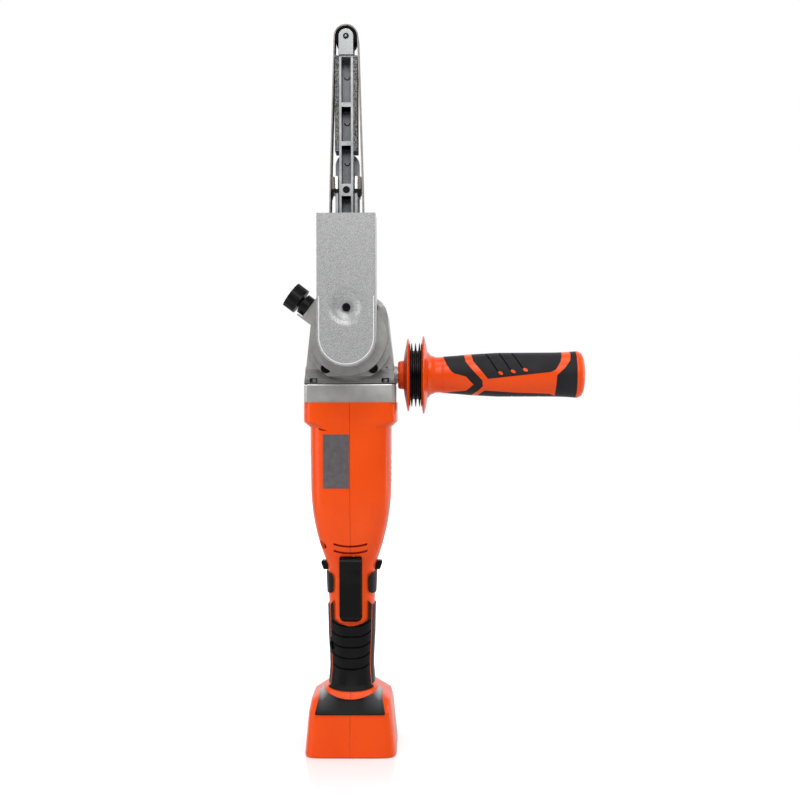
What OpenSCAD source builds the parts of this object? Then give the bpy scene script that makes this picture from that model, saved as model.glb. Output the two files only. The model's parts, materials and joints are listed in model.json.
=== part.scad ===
// Cordless narrow-belt sander, standing on its battery foot. Millimetres.
// Origin: centre of the foot's bottom face. +X side handle, -Y trigger and belt side, +Z nose of the belt arm.

/* [Foot] */
// Width of the foot at its base
foot_w = 71.8; // [66:0.2:78]
// Depth of the foot in front of the axis
foot_front = 38.5; // [36:0.5:42]
// Depth of the foot behind the axis
foot_back = 39.5; // [36:0.5:44]
// Draft of the foot's sides up to the apron edge
foot_draft = 3.1; // [1:0.1:4]
// Height of the apron's lower edge
apron_z = 34; // [30:1:36]
// Height of the foot's shoulder
shoulder_z = 42; // [40:1:46]
// Width over the shoulders
shoulder_w = 62.4; // [58:0.2:66]
// Height from the shoulder to the root of the grip
roof_h = 11; // [9:0.5:14]
// Height of the battery floor
floor_z = 16; // [14:0.5:20]
// Thickness of floors and ribs
rib_t = 2.5; // [1.6:0.1:3]

/* [Grip] */
// Length of the grip, from its root to the neck
grip_len = 93; // [88:1:100]
// Width of the grip under the rubber
grip_w = 35.6; // [34:0.2:38]
// Width at the waist of the grip under the rubber
waist_w = 32.6; // [31:0.2:34]
// Depth of the grip in front of the axis
grip_front = 19.8; // [19:0.2:22]
// Depth of the grip behind the axis
grip_back = 21.8; // [20:0.2:24]
// Thickness of the rubber skins
skin_t = 1.2; // [0.8:0.1:1.6]
// Wall of the plastic housing
wall = 2.6; // [2:0.1:3]

/* [Body] */
// Width of the motor body
body_w = 63.8; // [62:0.2:68]
// Half depth of the motor body
body_d = 32; // [31:0.2:35]
// Length of the motor body, from the neck to the collar
body_len = 109.4; // [106:0.2:116]
// Width of the collar
collar_w = 73.4; // [72:0.2:78]
// Half depth of the collar
collar_d = 34; // [33.5:0.1:36]
// Height of the collar's straight part
collar_h = 15; // [13:0.5:18]
// Height of the collar's chamfer
chamfer_h = 4.6; // [3:0.1:6]
// Height of the motor can's rib above the neck
can_rib_rise = 59; // [57:0.5:60]
// Width and height of the label plate
label_w = 20.3; // [16:0.1:22]
label_h = 42; // [30:0.5:44]

/* [Gear head] */
// Height of the gear flange
flange_h = 14; // [13:0.5:16]
// Width of the gear flange
flange_w = 71; // [70:0.2:73]
// Depth of the gear flange
flange_d = 66; // [65:0.2:67]
// Height of the spindle above the flange
spindle_rise = 36; // [35:0.5:38]
// Height of the gear housing above the spindle
dome_h = 33; // [32:0.5:36]
// Half width of the gear housing at the top
dome_w = 27.9; // [27:0.1:29]
// Distance of the corner screws from the axis along X and Y
corner_x = 28; // [27.5:0.1:28.5]
// Radius of the cavity round the crown gear
cavity_r = 26; // [25:0.2:26.4]
// Outer radius of the clamp collar
collar_r = 21.5; // [20:0.1:22]
// Radius of the retainer plate
retainer_r = 34; // [33:0.2:35]
// Radius of the retainer screws' circle
retainer_pcd_r = 29.8; // [29.6:0.1:30.2]

/* [Belt drive] */
// Inside length of the belt's middle layer
belt_len = 520; // [500:1:533]
// Width of the belt
belt_w = 20; // [18:0.5:20]
// Thickness of the belt
belt_t = 0.9; // [0.7:0.1:1]
// Radius of the belt's middle layer on the drive wheel
drive_r = 14; // [13.5:0.1:14.5]
// Radius of the belt's middle layer on the nose roller
nose_r = 8.8; // [8.6:0.1:9]
// Distance of the belt's centre plane in front of the motor axis
belt_y = 60; // [60:0.1:61]
// Half width of the belt's middle layer over the shoes
shoe_reach = 12; // [11.9:0.05:12.2]

/* [Arm] */
// Width of the arm bar
bar_w = 10.5; // [10:0.1:10.8]
// Depth of the arm bar
bar_d = 18; // [17.6:0.1:18]
// Width of the bar's pockets
pocket_w = 7.1; // [5:0.1:7.4]
// Depth of the bar's pockets
pocket_d = 15; // [12:0.2:15.4]
// Travel of the arm when a belt is changed
arm_travel = 8; // [5:0.5:8]
// Thickness of a platen pad
pad_t = 3.3; // [2.6:0.05:3.3]
// Thickness of the guide's cheeks
cheek_t = 2.2; // [1.8:0.1:2.3]
// Half width of the guide's tongue
tongue_r = 9.2; // [8.5:0.1:9.4]

/* [Cover] */
// Width of the belt cover
cover_w = 44; // [42:0.1:46]
// Height of the cover above the spindle
cover_rise = 90.9; // [88:0.1:96]
// Drop of the cover's round end below the spindle
cover_drop = 1.2; // [0:0.1:2]
// Depth of the cover
cover_d = 30; // [30:0.1:31]
// Thickness of the cover's wall
cover_t = 2; // [1.5:0.1:2.2]
// Height of the cover screw above the spindle
cover_screw_rise = 20.8; // [20.5:0.1:22]
// Radius of the cover's dimple
dimple_r = 12.2; // [11:0.1:13]

/* [Lock knob] */
// Angle of the knob's axis above the side handle
knob_angle = 143; // [140:1:146]
// Radius of the knob's cap
knob_r = 10.3; // [9:0.1:10.6]
// Length of the knob's cap
knob_len = 9.8; // [8:0.1:11]
// Radius of the knob's collar
nut_r = 8; // [7:0.1:8.2]

/* [Side handle] */
// Height of the side handle's axis above the flange
handle_rise = 8; // [7:0.1:8]
// Radius of the stud (M8)
stud_r = 4; // [4:0.1:4]
// Radius of the front guard flange
front_flange_r = 29.1; // [27:0.1:30]
// Radius of the rear guard flange
rear_flange_r = 31.1; // [30:0.1:33]
// Radius of the damper's fins
fin_r = 25.5; // [24:0.1:26]
// Radius of the handle's neck
neck_r = 14.2; // [13.5:0.1:14.4]
// Radius of the handle's palm swell
palm_r = 17.6; // [16.8:0.1:18]
// Thickness of the handle's rubber
sleeve_t = 1.6; // [1.2:0.1:2]
// Length of the handle's grip
handle_len = 105; // [100:1:112]

/* [Motor] */
// Outer radius of the motor can
can_r = 24; // [23:0.1:24.4]
// Radius of the armature core
core_r = 18; // [16:0.1:18.2]
// Length of the armature core
core_len = 48; // [40:1:50]
// Radius of the fan
fan_r = 25.5; // [24:0.1:26]
// Teeth of the pinion
pinion_teeth = 12; // [12:1:12]
// Teeth of the crown gear
crown_teeth = 36; // [36:1:36]

/* [Controls] */
// Width of the trigger
trigger_w = 17; // [15:0.1:17.6]
// Height of the trigger
trigger_h = 49.8; // [46:0.2:51]
// Length of the lock-off bar
lock_len = 49.2; // [46:0.2:50]

/* [Fits] */
// Radial clearance of a running fit
run = 0.05; // [0.03:0.01:0.08]
// Gap between sliding or moving pieces
gap = 0.3; // [0.25:0.05:0.4]
// Radial clearance of a seated piece
seat = 0.02; // [0.01:0.01:0.05]

/* [Hidden] */
$fn = 64;

// Heights
grip_z = shoulder_z + roof_h;
neck_z = grip_z + grip_len;
collar_z = neck_z + body_len;
flange_z = collar_z + chamfer_h + collar_h;
housing_z = flange_z + flange_h;
spindle_z = housing_z + spindle_rise;
dome_z = spindle_z + dome_h;
handle_z = housing_z + handle_rise;
waist_z = grip_z + 12;
palm_z = grip_z + 47;
shoulder_top_z = neck_z + 68;

// Rounded sections of the housing: [height, half width, front depth, back depth, squareness, steps up, easing]
SECTIONS = [
    [0, foot_w / 2 - 0.8, foot_front - 0.8, foot_back - 0.8, 8, 1, 1],
    [1.2, foot_w / 2, foot_front, foot_back, 8, 2, 1],
    [apron_z, foot_w / 2 - foot_draft, foot_front - 1.5, foot_back - 1.5, 8, 2, 1],
    [shoulder_z, shoulder_w / 2, foot_front - 9, foot_back - 7, 7, 2, 1],
    [grip_z, grip_w / 2 - 0.5, grip_front + 1, grip_back + 0.7, 3.2, 2, 0],
    [waist_z, waist_w / 2, grip_front - 0.9, grip_back - 0.9, 2.8, 4, 0],
    [palm_z, grip_w / 2, grip_front, grip_back, 2.8, 4, 0],
    [neck_z, grip_w / 2 + 1.4, grip_front + 0.8, grip_back - 0.3, 3, 8, 2.2],
    [shoulder_top_z, body_w / 2 - 0.1, body_d, body_d, 5, 3, 1],
    [collar_z, body_w / 2, body_d, body_d, 5.6, 1, 1],
    [collar_z + chamfer_h, collar_w / 2, collar_d, collar_d, 8, 1, 1],
    [flange_z, collar_w / 2, collar_d, collar_d, 8, 1, 1]
];
// Angles of the section's points, from the front seam round the side to the back seam
ANGLES = [-90, -87, -82, -76, -70, -62, -54, -45, -38, -34, -20, -8, 8, 20, 34, 45, 54, 64, 75, 84, 90];
FRONT_PANEL = [0, 8];
SIDE_PANEL = [9, 20];
INSERT_PANEL = [5, 15];
APRON_PANEL = [0, 11];
LABEL_PANEL = [0, 5];

function ease(u, p) = p == 0 ? u * u * (3 - 2 * u) : 1 - pow(1 - u, p);
function between(a, b, u) = concat([a[0] + (b[0] - a[0]) * u], [for (i = [1:4]) a[i] + (b[i] - a[i]) * ease(u, a[6])]);
function section_at(z, i = 0) =
    i > len(SECTIONS) - 3 || z <= SECTIONS[i + 1][0]
        ? between(SECTIONS[i], SECTIONS[i + 1], (z - SECTIONS[i][0]) / (SECTIONS[i + 1][0] - SECTIONS[i][0]))
        : section_at(z, i + 1);
RINGS = concat(
    [for (i = [0:len(SECTIONS) - 2]) for (k = [0:SECTIONS[i][5] - 1])
        between(SECTIONS[i], SECTIONS[i + 1], k / SECTIONS[i][5])],
    [section_at(flange_z)]
);
function bend(v, n) = sign(v) * pow(abs(v), 2 / n);
function section_point(s, t, grow) = [
    (s[1] + grow) * bend(cos(t), s[4]),
    ((t < 0 ? s[2] : s[3]) + grow) * bend(sin(t), s[4]),
    s[0]
];
// Half width of a section at a given depth
function reach(s, y, grow = 0) =
    (s[1] + grow) * pow(1 - pow(min(1, abs(y) / ((y < 0 ? s[2] : s[3]) + grow)), s[4]), 1 / s[4]);

// Point on the straight face between two rings
function ring_below(z) = max([for (k = [0:len(RINGS) - 2]) if (k == 0 || RINGS[k][0] <= z + 0.001) k]);
function wall_point(z, t, grow) =
    let (i = ring_below(z), a = section_point(RINGS[i], t, grow), b = section_point(RINGS[i + 1], t, grow))
    a + (b - a) * (z - RINGS[i][0]) / (RINGS[i + 1][0] - RINGS[i][0]);

// A curved skin over part of the housing's surface, from `low` to `high` out of the surface
module skin(heights, angles, low, high) {
    m = len(heights);
    c = len(angles);
    outer = [for (z = heights) for (t = angles) wall_point(z, t, high)];
    inner = [for (z = heights) for (t = angles) wall_point(z, t, low)];
    n = m * c;
    faces = concat(
        [for (i = [0:m - 2]) for (j = [0:c - 2]) each [
            [i * c + j, (i + 1) * c + j, (i + 1) * c + j + 1],
            [i * c + j, (i + 1) * c + j + 1, i * c + j + 1],
            [n + i * c + j, n + (i + 1) * c + j + 1, n + (i + 1) * c + j],
            [n + i * c + j, n + i * c + j + 1, n + (i + 1) * c + j + 1]
        ]],
        [for (j = [0:c - 2]) each [
            [j, j + 1, n + j + 1], [j, n + j + 1, n + j],
            [n - c + j, 2 * n - c + j, 2 * n - c + j + 1], [n - c + j, 2 * n - c + j + 1, n - c + j + 1]
        ]],
        [for (i = [0:m - 2]) each [
            [i * c, n + i * c, n + (i + 1) * c], [i * c, n + (i + 1) * c, (i + 1) * c],
            [i * c + c - 1, (i + 1) * c + c - 1, n + (i + 1) * c + c - 1],
            [i * c + c - 1, n + (i + 1) * c + c - 1, n + i * c + c - 1]
        ]]
    );
    polyhedron(concat(outer, inner), faces);
}
HEIGHTS = [for (s = RINGS) s[0]];
function heights_between(z0, z1) = concat([z0], [for (z = HEIGHTS) if (z > z0 + 0.5 && z < z1 - 0.5) z], [z1]);
function pick(list, range) = [for (i = [range[0]:range[1]]) list[i]];

// Round bars along the three axes, and boxes given by their corners
module rod_x(y, z, x0, x1, r) { translate([x0, y, z]) rotate([0, 90, 0]) cylinder(h = x1 - x0, r = r); }
module rod_y(x, z, y0, y1, r) { translate([x, y0, z]) rotate([-90, 0, 0]) cylinder(h = y1 - y0, r = r); }
module rod_z(x, y, z0, z1, r) { translate([x, y, z0]) cylinder(h = z1 - z0, r = r); }
module box(low, high) { translate(low) cube(high - low); }
// Solids of revolution: points are [radius, place along the axis]
module turned_x(z, points) { translate([0, 0, z]) rotate([0, 90, 0]) rotate_extrude() polygon(points); }
module turned_y(z, points) { translate([0, 0, z]) rotate([-90, 0, 0]) rotate_extrude() polygon(points); }
module turned_z(points) { rotate_extrude() polygon(points); }
// Flat outlines: [x, z] points pushed from y0 to y1, and [y, z] points pushed from x0 to x1
module slab_y(y0, y1) { translate([0, y1, 0]) rotate([90, 0, 0]) linear_extrude(height = y1 - y0) children(); }
module slab_x(x0, x1) { translate([x0, 0, 0]) rotate([90, 0, 90]) linear_extrude(height = x1 - x0) children(); }

// Polygon with rounded corners: each point is [x, y, radius]
function unit(v) = v / norm(v);
function corner_arc(a, b, c, r) =
    let (u = unit([a[0] - b[0], a[1] - b[1]]), v = unit([c[0] - b[0], c[1] - b[1]]), half = acos(u * v) / 2,
         m = [b[0], b[1]] + unit(u + v) * r / sin(half), s = [b[0], b[1]] + u * r / tan(half) - m,
         e = [b[0], b[1]] + v * r / tan(half) - m, a0 = atan2(s[1], s[0]),
         turn = atan2(s[0] * e[1] - s[1] * e[0], s * e))
    [for (k = [0:5]) m + r * [cos(a0 + turn * k / 5), sin(a0 + turn * k / 5)]];
function rounded(p) = [for (i = [0:len(p) - 1])
    each p[i][2] == 0 ? [[p[i][0], p[i][1]]]
        : corner_arc(p[(i + len(p) - 1) % len(p)], p[i], p[(i + 1) % len(p)], p[i][2])];
module rounded_rect(w, d, r) {
    polygon(rounded([[-w / 2, -d / 2, r], [w / 2, -d / 2, r], [w / 2, d / 2, r], [-w / 2, d / 2, r]]));
}

/* Housing */

boss_r = 4;
screw_r = 1.5;
head_r = 3;
// Places of the housing screws: [place in depth, height, depth of the recess]
HOUSING_SCREWS = [
    [-(grip_front - 0.2), neck_z + 17.2, 4.6], [grip_back - 4.8, neck_z + 17.5, 6],
    [-(grip_front - 5.8), palm_z - 17, 2.6], [grip_back - 6, palm_z - 36, 6],
    [-(foot_front - 12.5), floor_z + 10, 6], [foot_back - 13.5, floor_z + 10, 6]
];
// Depth of the grooves in the front of the body
groove_d = 1.4;
bearing_rib_z = neck_z + 15;
can_rib_z = neck_z + can_rib_rise;
sleeve_r = 12;
trigger_z0 = palm_z + 3.6;
trigger_z1 = trigger_z0 + trigger_h;
lock_z = neck_z - 0.6;
lock_h = 7.2;
lock_d = 10;
lock_y = -2;
switch_w = 18;
switch_z0 = trigger_z0 + 1.3;
switch_z1 = lock_z - lock_h / 2 - 2.2;
// Half width, lowest point and bottom radius of the orange bezel round the trigger
bezel_w = 13.7;
bezel_z = palm_z - 1.2;
bezel_r = 19.3;
// Pivot of the trigger
pivot_y = -16;
pivot_z = trigger_z1 - 4.4;
pivot_r = 1.5;
// Half depth of the control board between the lower bosses
board_d = foot_front - 12.5 - boss_r - 0.6;

module section_slice(z, grow) {
    s = section_at(z);
    polygon([for (t = ANGLES) let (p = section_point(s, t, grow)) [p[0], p[1]]]);
}
module rib(z, grow = -1.2) { translate([0, 0, z]) linear_extrude(height = rib_t) section_slice(z, grow); }
module screw_boss(place) intersection() {
    rod_x(place[0], place[1], 0, foot_w / 2, boss_r);
    translate([0, 0, place[1] - boss_r - 1]) linear_extrude(height = 2 * boss_r + 2) section_slice(place[1], -1.8);
}
module smile_groove(z) {
    // An arched groove in the front wall
    slab_y(-body_d, -(section_at(z)[2] - groove_d)) intersection() {
        translate([0, z + 45]) difference() { circle(r = 45.8); circle(r = 44.2); }
        translate([-13.2, z - 5]) square([26.4, 10]);
    }
}
module housing_half() {
    difference() {
        union() {
            skin(HEIGHTS, ANGLES, -wall, 0);
            rib(floor_z, -1);
            difference() {
                rib(bearing_rib_z);
                rod_z(0, 0, bearing_rib_z - 1, bearing_rib_z + rib_t + 1, sleeve_r + seat);
            }
            difference() {
                rib(can_rib_z);
                rod_z(0, 0, can_rib_z - 1, can_rib_z + rib_t + 1, can_r + seat);
            }
            rib(switch_z0 - rib_t);
            for (place = HOUSING_SCREWS) screw_boss(place);
            for (y = [-1, 1]) rod_z(corner_x, y * corner_y, collar_z + chamfer_h + 1, flange_z, boss_r);
            box([foot_w / 2 - foot_draft - wall - 2, -(foot_front - 10.5), 3],
                [foot_w / 2 - foot_draft - 1, foot_back - 9.5, 6.5]);
            for (y = [-1, 1]) rod_z(18, y * (board_d - 4), floor_z, board_z, 2.5);
            box([trigger_w / 2 + 0.4, pivot_y - 2.5, pivot_z - 3], [trigger_w / 2 + 3.4, pivot_y + 2.6, pivot_z + 3]);
        }
        slab_y(-body_d - 4, -11.5) polygon(rounded([[-1, trigger_z0 - 1.3, 0], [trigger_w / 2 + 0.4, trigger_z0 - 1.3, 4],
            [trigger_w / 2 + 0.4, trigger_z1 + 0.8, 1.5], [-1, trigger_z1 + 0.8, 0]]));
        rod_x(pivot_y, pivot_z, 0, trigger_w / 2 + 2.8, pivot_r + run);
        box([0, lock_y - lock_d / 2 - gap, lock_z - lock_h / 2 - gap],
            [body_w / 2, lock_y + lock_d / 2 + gap, lock_z + lock_h / 2 + gap]);
        for (z = [neck_z + 10.7, neck_z + 16.1]) smile_groove(z);
        for (k = [0:3]) box([body_w / 2 - 6, -13, can_rib_z + 6 + 5 * k], [body_w / 2 + 2, 13, can_rib_z + 8.6 + 5 * k]);
        for (y = [-1, 1]) rod_z(corner_x, y * corner_y, collar_z + chamfer_h + 2, flange_z + 1, 2 + seat);
    }
}
corner_y = corner_x - 1;
board_z = floor_z + rib_t + 3;

module housing_left() color("#ee5219") difference() {
    mirror([1, 0, 0]) housing_half();
    for (p = HOUSING_SCREWS) {
        rod_x(p[0], p[1], -body_w, 1, screw_r + 0.3);
        rod_x(p[0], p[1], -body_w, screw_head_x(p), head_r + 0.5);
    }
    // A slanted groove under the collar
    slab_y(-collar_d - 2, -body_d + groove_d) polygon([[-30.5, collar_z + 0.5], [-24, collar_z - 0.2],
        [-17.2, collar_z - 2.7], [-22.5, collar_z - 2.3]]);
}
function screw_head_x(p) = -(reach(section_at(p[1]), p[0], 0) - p[2]);
module housing_right() color("#ee5219") difference() {
    housing_half();
    for (p = HOUSING_SCREWS) rod_x(p[0], p[1], -1, 9, screw_r + seat);
}
module housing_screws() color("#202020") for (p = HOUSING_SCREWS) {
    rod_x(p[0], p[1], screw_head_x(p) - 0.4, 7.5, screw_r);
    rod_x(p[0], p[1], screw_head_x(p) - 2.2, screw_head_x(p), head_r);
}

// Upper edge of the lower rubber at the bezel, and the heights of the insert
slant_z = palm_z + 18.6;
insert_z0 = slant_z + 6;
insert_z1 = lock_z - lock_h / 2 - 1.4;
// Lower edge of the rubber, and its arc in front
grip_low_z = grip_z;
smile_z = grip_z - 4.2;
smile_r = 64;
// Outer limit for the cuts through the rubber
beyond = grip_w;
module grip_half() {
    difference() {
        union() {
            intersection() {
                skin(heights_between(smile_z - 0.4, slant_z), pick(ANGLES, FRONT_PANEL), 0, skin_t);
                slab_y(-body_d, 0) translate([0, smile_z + smile_r]) circle(r = smile_r);
            }
            skin(heights_between(grip_low_z, slant_z), pick(ANGLES, SIDE_PANEL), 0, skin_t);
        }
        // Slanted upper edge, out from the bezel
        slab_y(-body_d, body_d) polygon([[bezel_w, slant_z + 1], [bezel_w, slant_z], [bezel_w + 3.4, slant_z - 4],
            [beyond, slant_z - 6], [beyond, slant_z + 1]]);
        slab_y(-body_d, -5) intersection() {
            translate([-1, bezel_z - 1]) square([bezel_w + 1, neck_z - bezel_z]);
            union() {
                translate([0, bezel_z + bezel_r]) circle(r = bezel_r);
                translate([-1, bezel_z + bezel_r]) square([bezel_w + 1, neck_z]);
            }
        }
    }
    intersection() {
        skin(heights_between(insert_z0 - 1, insert_z1 + 0.6), pick(ANGLES, INSERT_PANEL), 0, skin_t);
        slab_y(-body_d, body_d) polygon(rounded([[bezel_w - 0.1, insert_z0, 4], [beyond, insert_z0 - 2, 0],
            [beyond, insert_z1 + 0.5, 0], [bezel_w - 0.1, insert_z1, 4]]));
    }
}
module grip_left() color("#19191b") difference() {
    mirror([1, 0, 0]) grip_half();
    for (p = HOUSING_SCREWS) rod_x(p[0], p[1], -body_w, 0, head_r + 0.5);
}
module grip_right() color("#19191b") grip_half();
// Glossy skirts over the shoulders of the foot: edge points are [half width, height]
apron_top_z = grip_z - gap;
apron_arc_z = grip_z - 9.7;
apron_arc_r = 36.8;
APRON_EDGE = [[0, apron_z - 0.6], [26.7, apron_z - 0.6], [27.1, apron_z + 0.4], [25, apron_z + 9.8],
    [24.6, apron_z + 13.5], [24.6, apron_top_z], [0, apron_top_z]];
module foot_aprons() color("#323031") for (side = [0, 1]) mirror([side, 0, 0]) intersection() {
    skin(heights_between(apron_z - 0.6, apron_top_z), pick(ANGLES, APRON_PANEL), 0, skin_t - 0.2);
    slab_y(-body_d - 10, 0) difference() {
        polygon(APRON_EDGE);
        translate([0, apron_arc_z + apron_arc_r]) circle(r = apron_arc_r);
    }
}
label_z = collar_z - 26.4;
module label_plate() color("#514545") intersection() {
    mirror([1, 0, 0]) skin(heights_between(label_z - label_h / 2, label_z + label_h / 2), pick(ANGLES, LABEL_PANEL), 0, 0.4);
    box([-label_w - 0.6, -body_d - 5, label_z - label_h], [-0.6, 0, label_z + label_h]);
}

/* Controls and electrics */

switch_front = 12;
trigger_y = grip_front + 8.8;
module trigger() {
    trigger_key();
    trigger_pins();
}
module trigger_key() color("#1b1519") intersection() {
    slab_x(-trigger_w / 2, trigger_w / 2) polygon(rounded([
        [-trigger_y, trigger_z0 + 0.5, 3], [-trigger_y + 0.6, trigger_z0 + 0.6 * trigger_h, 40],
        [-trigger_y - 1.2, trigger_z1 - 0.5, 3],
        [-16, trigger_z1 - 0.5, 2], [-switch_front - 0.6, trigger_z1 - 14, 2], [-switch_front - 3.6, trigger_z0 + 14, 2],
        [-18.6, trigger_z0 + 0.5, 2]
    ]));
    slab_y(-trigger_y - 8, 0) polygon(rounded([[-trigger_w / 2 - 1, trigger_z1 + 1, 0], [-trigger_w / 2 - 1, trigger_z0 + 6.5, 0],
        [-trigger_w / 2 + 1.6, trigger_z0 + 1.4, 2], [0, trigger_z0 - 0.2, 18], [trigger_w / 2 - 1.6, trigger_z0 + 1.4, 2],
        [trigger_w / 2 + 1, trigger_z0 + 6.5, 0], [trigger_w / 2 + 1, trigger_z1 + 1, 0]]));
}
module trigger_pins() color("#1b1519") rod_x(pivot_y, pivot_z, -trigger_w / 2 - 2.4, trigger_w / 2 + 2.4, pivot_r);
module lock_off_bar() color("#1b1519") slab_y(lock_y - lock_d / 2, lock_y + lock_d / 2) polygon([
    [-lock_len / 2 + 2, lock_z - lock_h / 2], [lock_len / 2 - 2, lock_z - lock_h / 2],
    [lock_len / 2, lock_z + lock_h / 2 - 1.6], [lock_len / 2 - 0.6, lock_z + lock_h / 2],
    [-lock_len / 2 + 0.6, lock_z + lock_h / 2], [-lock_len / 2, lock_z + lock_h / 2 - 1.6]
]);
module switch_module() color("#303034") difference() {
    box([-switch_w / 2, -switch_front + 1.6, switch_z0], [switch_w / 2, 14, switch_z1]);
    for (z = [switch_z0 + 6, switch_z1 - 6]) box([-switch_w / 2 - 1, 13, z - 1], [switch_w / 2 + 1, 15, z + 1]);
}
module control_board() color("#1f6b3a") {
    difference() {
        box([-24, -board_d, board_z], [24, board_d, board_z + 1.6]);
        for (x = [-18, 18]) for (y = [-1, 1]) rod_z(x, y * (board_d - 4), board_z - 1, board_z + 3, 1.2);
    }
    box([-14, -12, board_z + 1.6], [-2, 10, board_z + 7]);
    for (x = [5, 13]) rod_z(x, -8, board_z + 1.6, board_z + 10, 3.5);
    box([4, 4, board_z + 1.6], [16, 14, board_z + 5]);
}
module terminal_block() {
    color("#242428") box([-17, 4, 6], [17, 32, floor_z]);
    color("#c8a878") for (x = [-10, 0, 10]) box([x - 0.5, -6, 9], [x + 0.5, 4, 14]);
}

/* Motor */

shaft_r = 4;
rear_shaft_r = 3;
tip_r = 2.2;
motor_bearing_r = 11;
motor_bearing_w = 7;
rear_bearing_r = 9.5;
rear_bearing_w = 6;
rear_bearing_z = neck_z + 14;
plate_z = rear_bearing_z + 17;
fan_z = collar_z + 1.6;
can_z1 = fan_z - 3;
can_t = 1.5;
core_z = plate_z + 15;
windings_r = core_r - 3;
commutator_r = 8;
brush_z = rear_bearing_z + 12.5;
brush_s = 5;
front_bearing_z = flange_z + 1;

module motor_can() color("#8d9094") difference() {
    rod_z(0, 0, plate_z + rib_t, can_z1, can_r);
    rod_z(0, 0, plate_z, can_z1 - can_t, can_r - can_t);
    rod_z(0, 0, can_z1 - 5, can_z1 + 1, 13);
}
module motor_magnets() color("#4a4a50") for (a = [0, 180]) rotate([0, 0, a]) translate([0, 0, core_z - 2])
    difference() {
        rotate([0, 0, -60]) rotate_extrude(angle = 120) translate([core_r + 0.7, 0])
            square([can_r - can_t - core_r - 0.7, core_len + 4]);
    }
module brush_plate() color("#2a2a2c") difference() {
    union() {
        rod_z(0, 0, rear_bearing_z - 0.5, plate_z, sleeve_r);
        rod_z(0, 0, plate_z, plate_z + rib_t, can_r);
        box([-18, -brush_s / 2 - 1.5, brush_z - brush_s / 2 - 1.5], [18, brush_s / 2 + 1.5, plate_z]);
    }
    rod_z(0, 0, rear_bearing_z, plate_z + 1, rear_bearing_r + seat);
    rod_z(0, 0, plate_z - 1, plate_z + rib_t + 1, commutator_r + 1);
    rod_z(0, 0, rear_bearing_z - 2, rear_bearing_z + 1, rear_shaft_r + 1);
    box([-19, -brush_s / 2 - seat, brush_z - brush_s / 2 - seat], [19, brush_s / 2 + seat, brush_z + brush_s / 2 + seat]);
}
module carbon_brushes() color("#3a3a3a") for (side = [-1, 1])
    translate([side * (commutator_r + gap + 4.5), 0, brush_z]) cube([9, brush_s, brush_s], center = true);
module bearing(r_in, r_out, w) difference() {
    cylinder(h = w, r = r_out);
    translate([0, 0, -1]) cylinder(h = w + 2, r = r_in);
    for (z = [-1, w - 0.6]) translate([0, 0, z]) difference() {
        cylinder(h = 1.6, r = r_out - (r_out - r_in) * 0.25);
        translate([0, 0, -1]) cylinder(h = 4, r = r_in + (r_out - r_in) * 0.25);
    }
}
module motor_bearings() color("#b8bcc0") {
    translate([0, 0, rear_bearing_z]) bearing(rear_shaft_r + run, rear_bearing_r, rear_bearing_w);
    translate([0, 0, front_bearing_z]) bearing(shaft_r + run, motor_bearing_r, motor_bearing_w);
}
module motor_shaft() color("#a8acb0") {
    rod_z(0, 0, rear_bearing_z - 1, rear_bearing_z + 7, rear_shaft_r);
    rod_z(0, 0, rear_bearing_z + 7, housing_z + 2, shaft_r);
    rod_z(0, 0, housing_z + 2, spindle_z - pinion_axial(gear_l - gear_face) + 1, tip_r);
}
module armature_core() color("#70747a") difference() {
    rod_z(0, 0, core_z, core_z + core_len, core_r);
    rod_z(0, 0, core_z - 1, core_z + core_len + 1, shaft_r + seat);
    for (k = [0:11]) rotate([0, 0, 30 * k]) box([core_r - 5.5, -1, core_z - 1], [core_r + 1, 1, core_z + core_len + 1]);
}
module armature_windings() color("#b06a2c") for (z = [core_z - 8, core_z + core_len]) difference() {
    turned_z(rounded([[shaft_r + 0.6, z, 0], [windings_r, z, 3], [windings_r, z + 8, 3], [shaft_r + 0.6, z + 8, 0]]));
}
module commutator() color("#b87333") difference() {
    rod_z(0, 0, rear_bearing_z + 7, core_z - 8.3, commutator_r);
    rod_z(0, 0, rear_bearing_z + 6, core_z, shaft_r + seat);
    for (k = [0:11]) rotate([0, 0, 30 * k]) box([commutator_r - 1, -0.3, rear_bearing_z + 6], [commutator_r + 1, 0.3, core_z]);
}
module cooling_fan() color("#2b2b2e") difference() {
    union() {
        rod_z(0, 0, fan_z, fan_z + 1.6, fan_r);
        rod_z(0, 0, fan_z, fan_z + 10, 8);
        for (k = [0:10]) rotate([0, 0, 360 / 11 * k]) box([7, -0.7, fan_z], [fan_r, 0.7, fan_z + 9]);
    }
    rod_z(0, 0, fan_z - 1, fan_z + 11, shaft_r + seat);
}

/* Bevel gears: apex at the origin, axis +Z, sized by the cone distance */

gear_l = 18.97;
gear_face = 5.5;
tip_h = 0.8;
root_h = 1.15;
pinion_cone = atan(pinion_teeth / crown_teeth);
crown_cone = 90 - pinion_cone;
crown_bore_r = 6;
lock_hole_r = 10.4;
lock_hole = 2.2;
function pinion_axial(l) = l * cos(pinion_cone) + root_h * (l / gear_l) * sin(pinion_cone);
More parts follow.
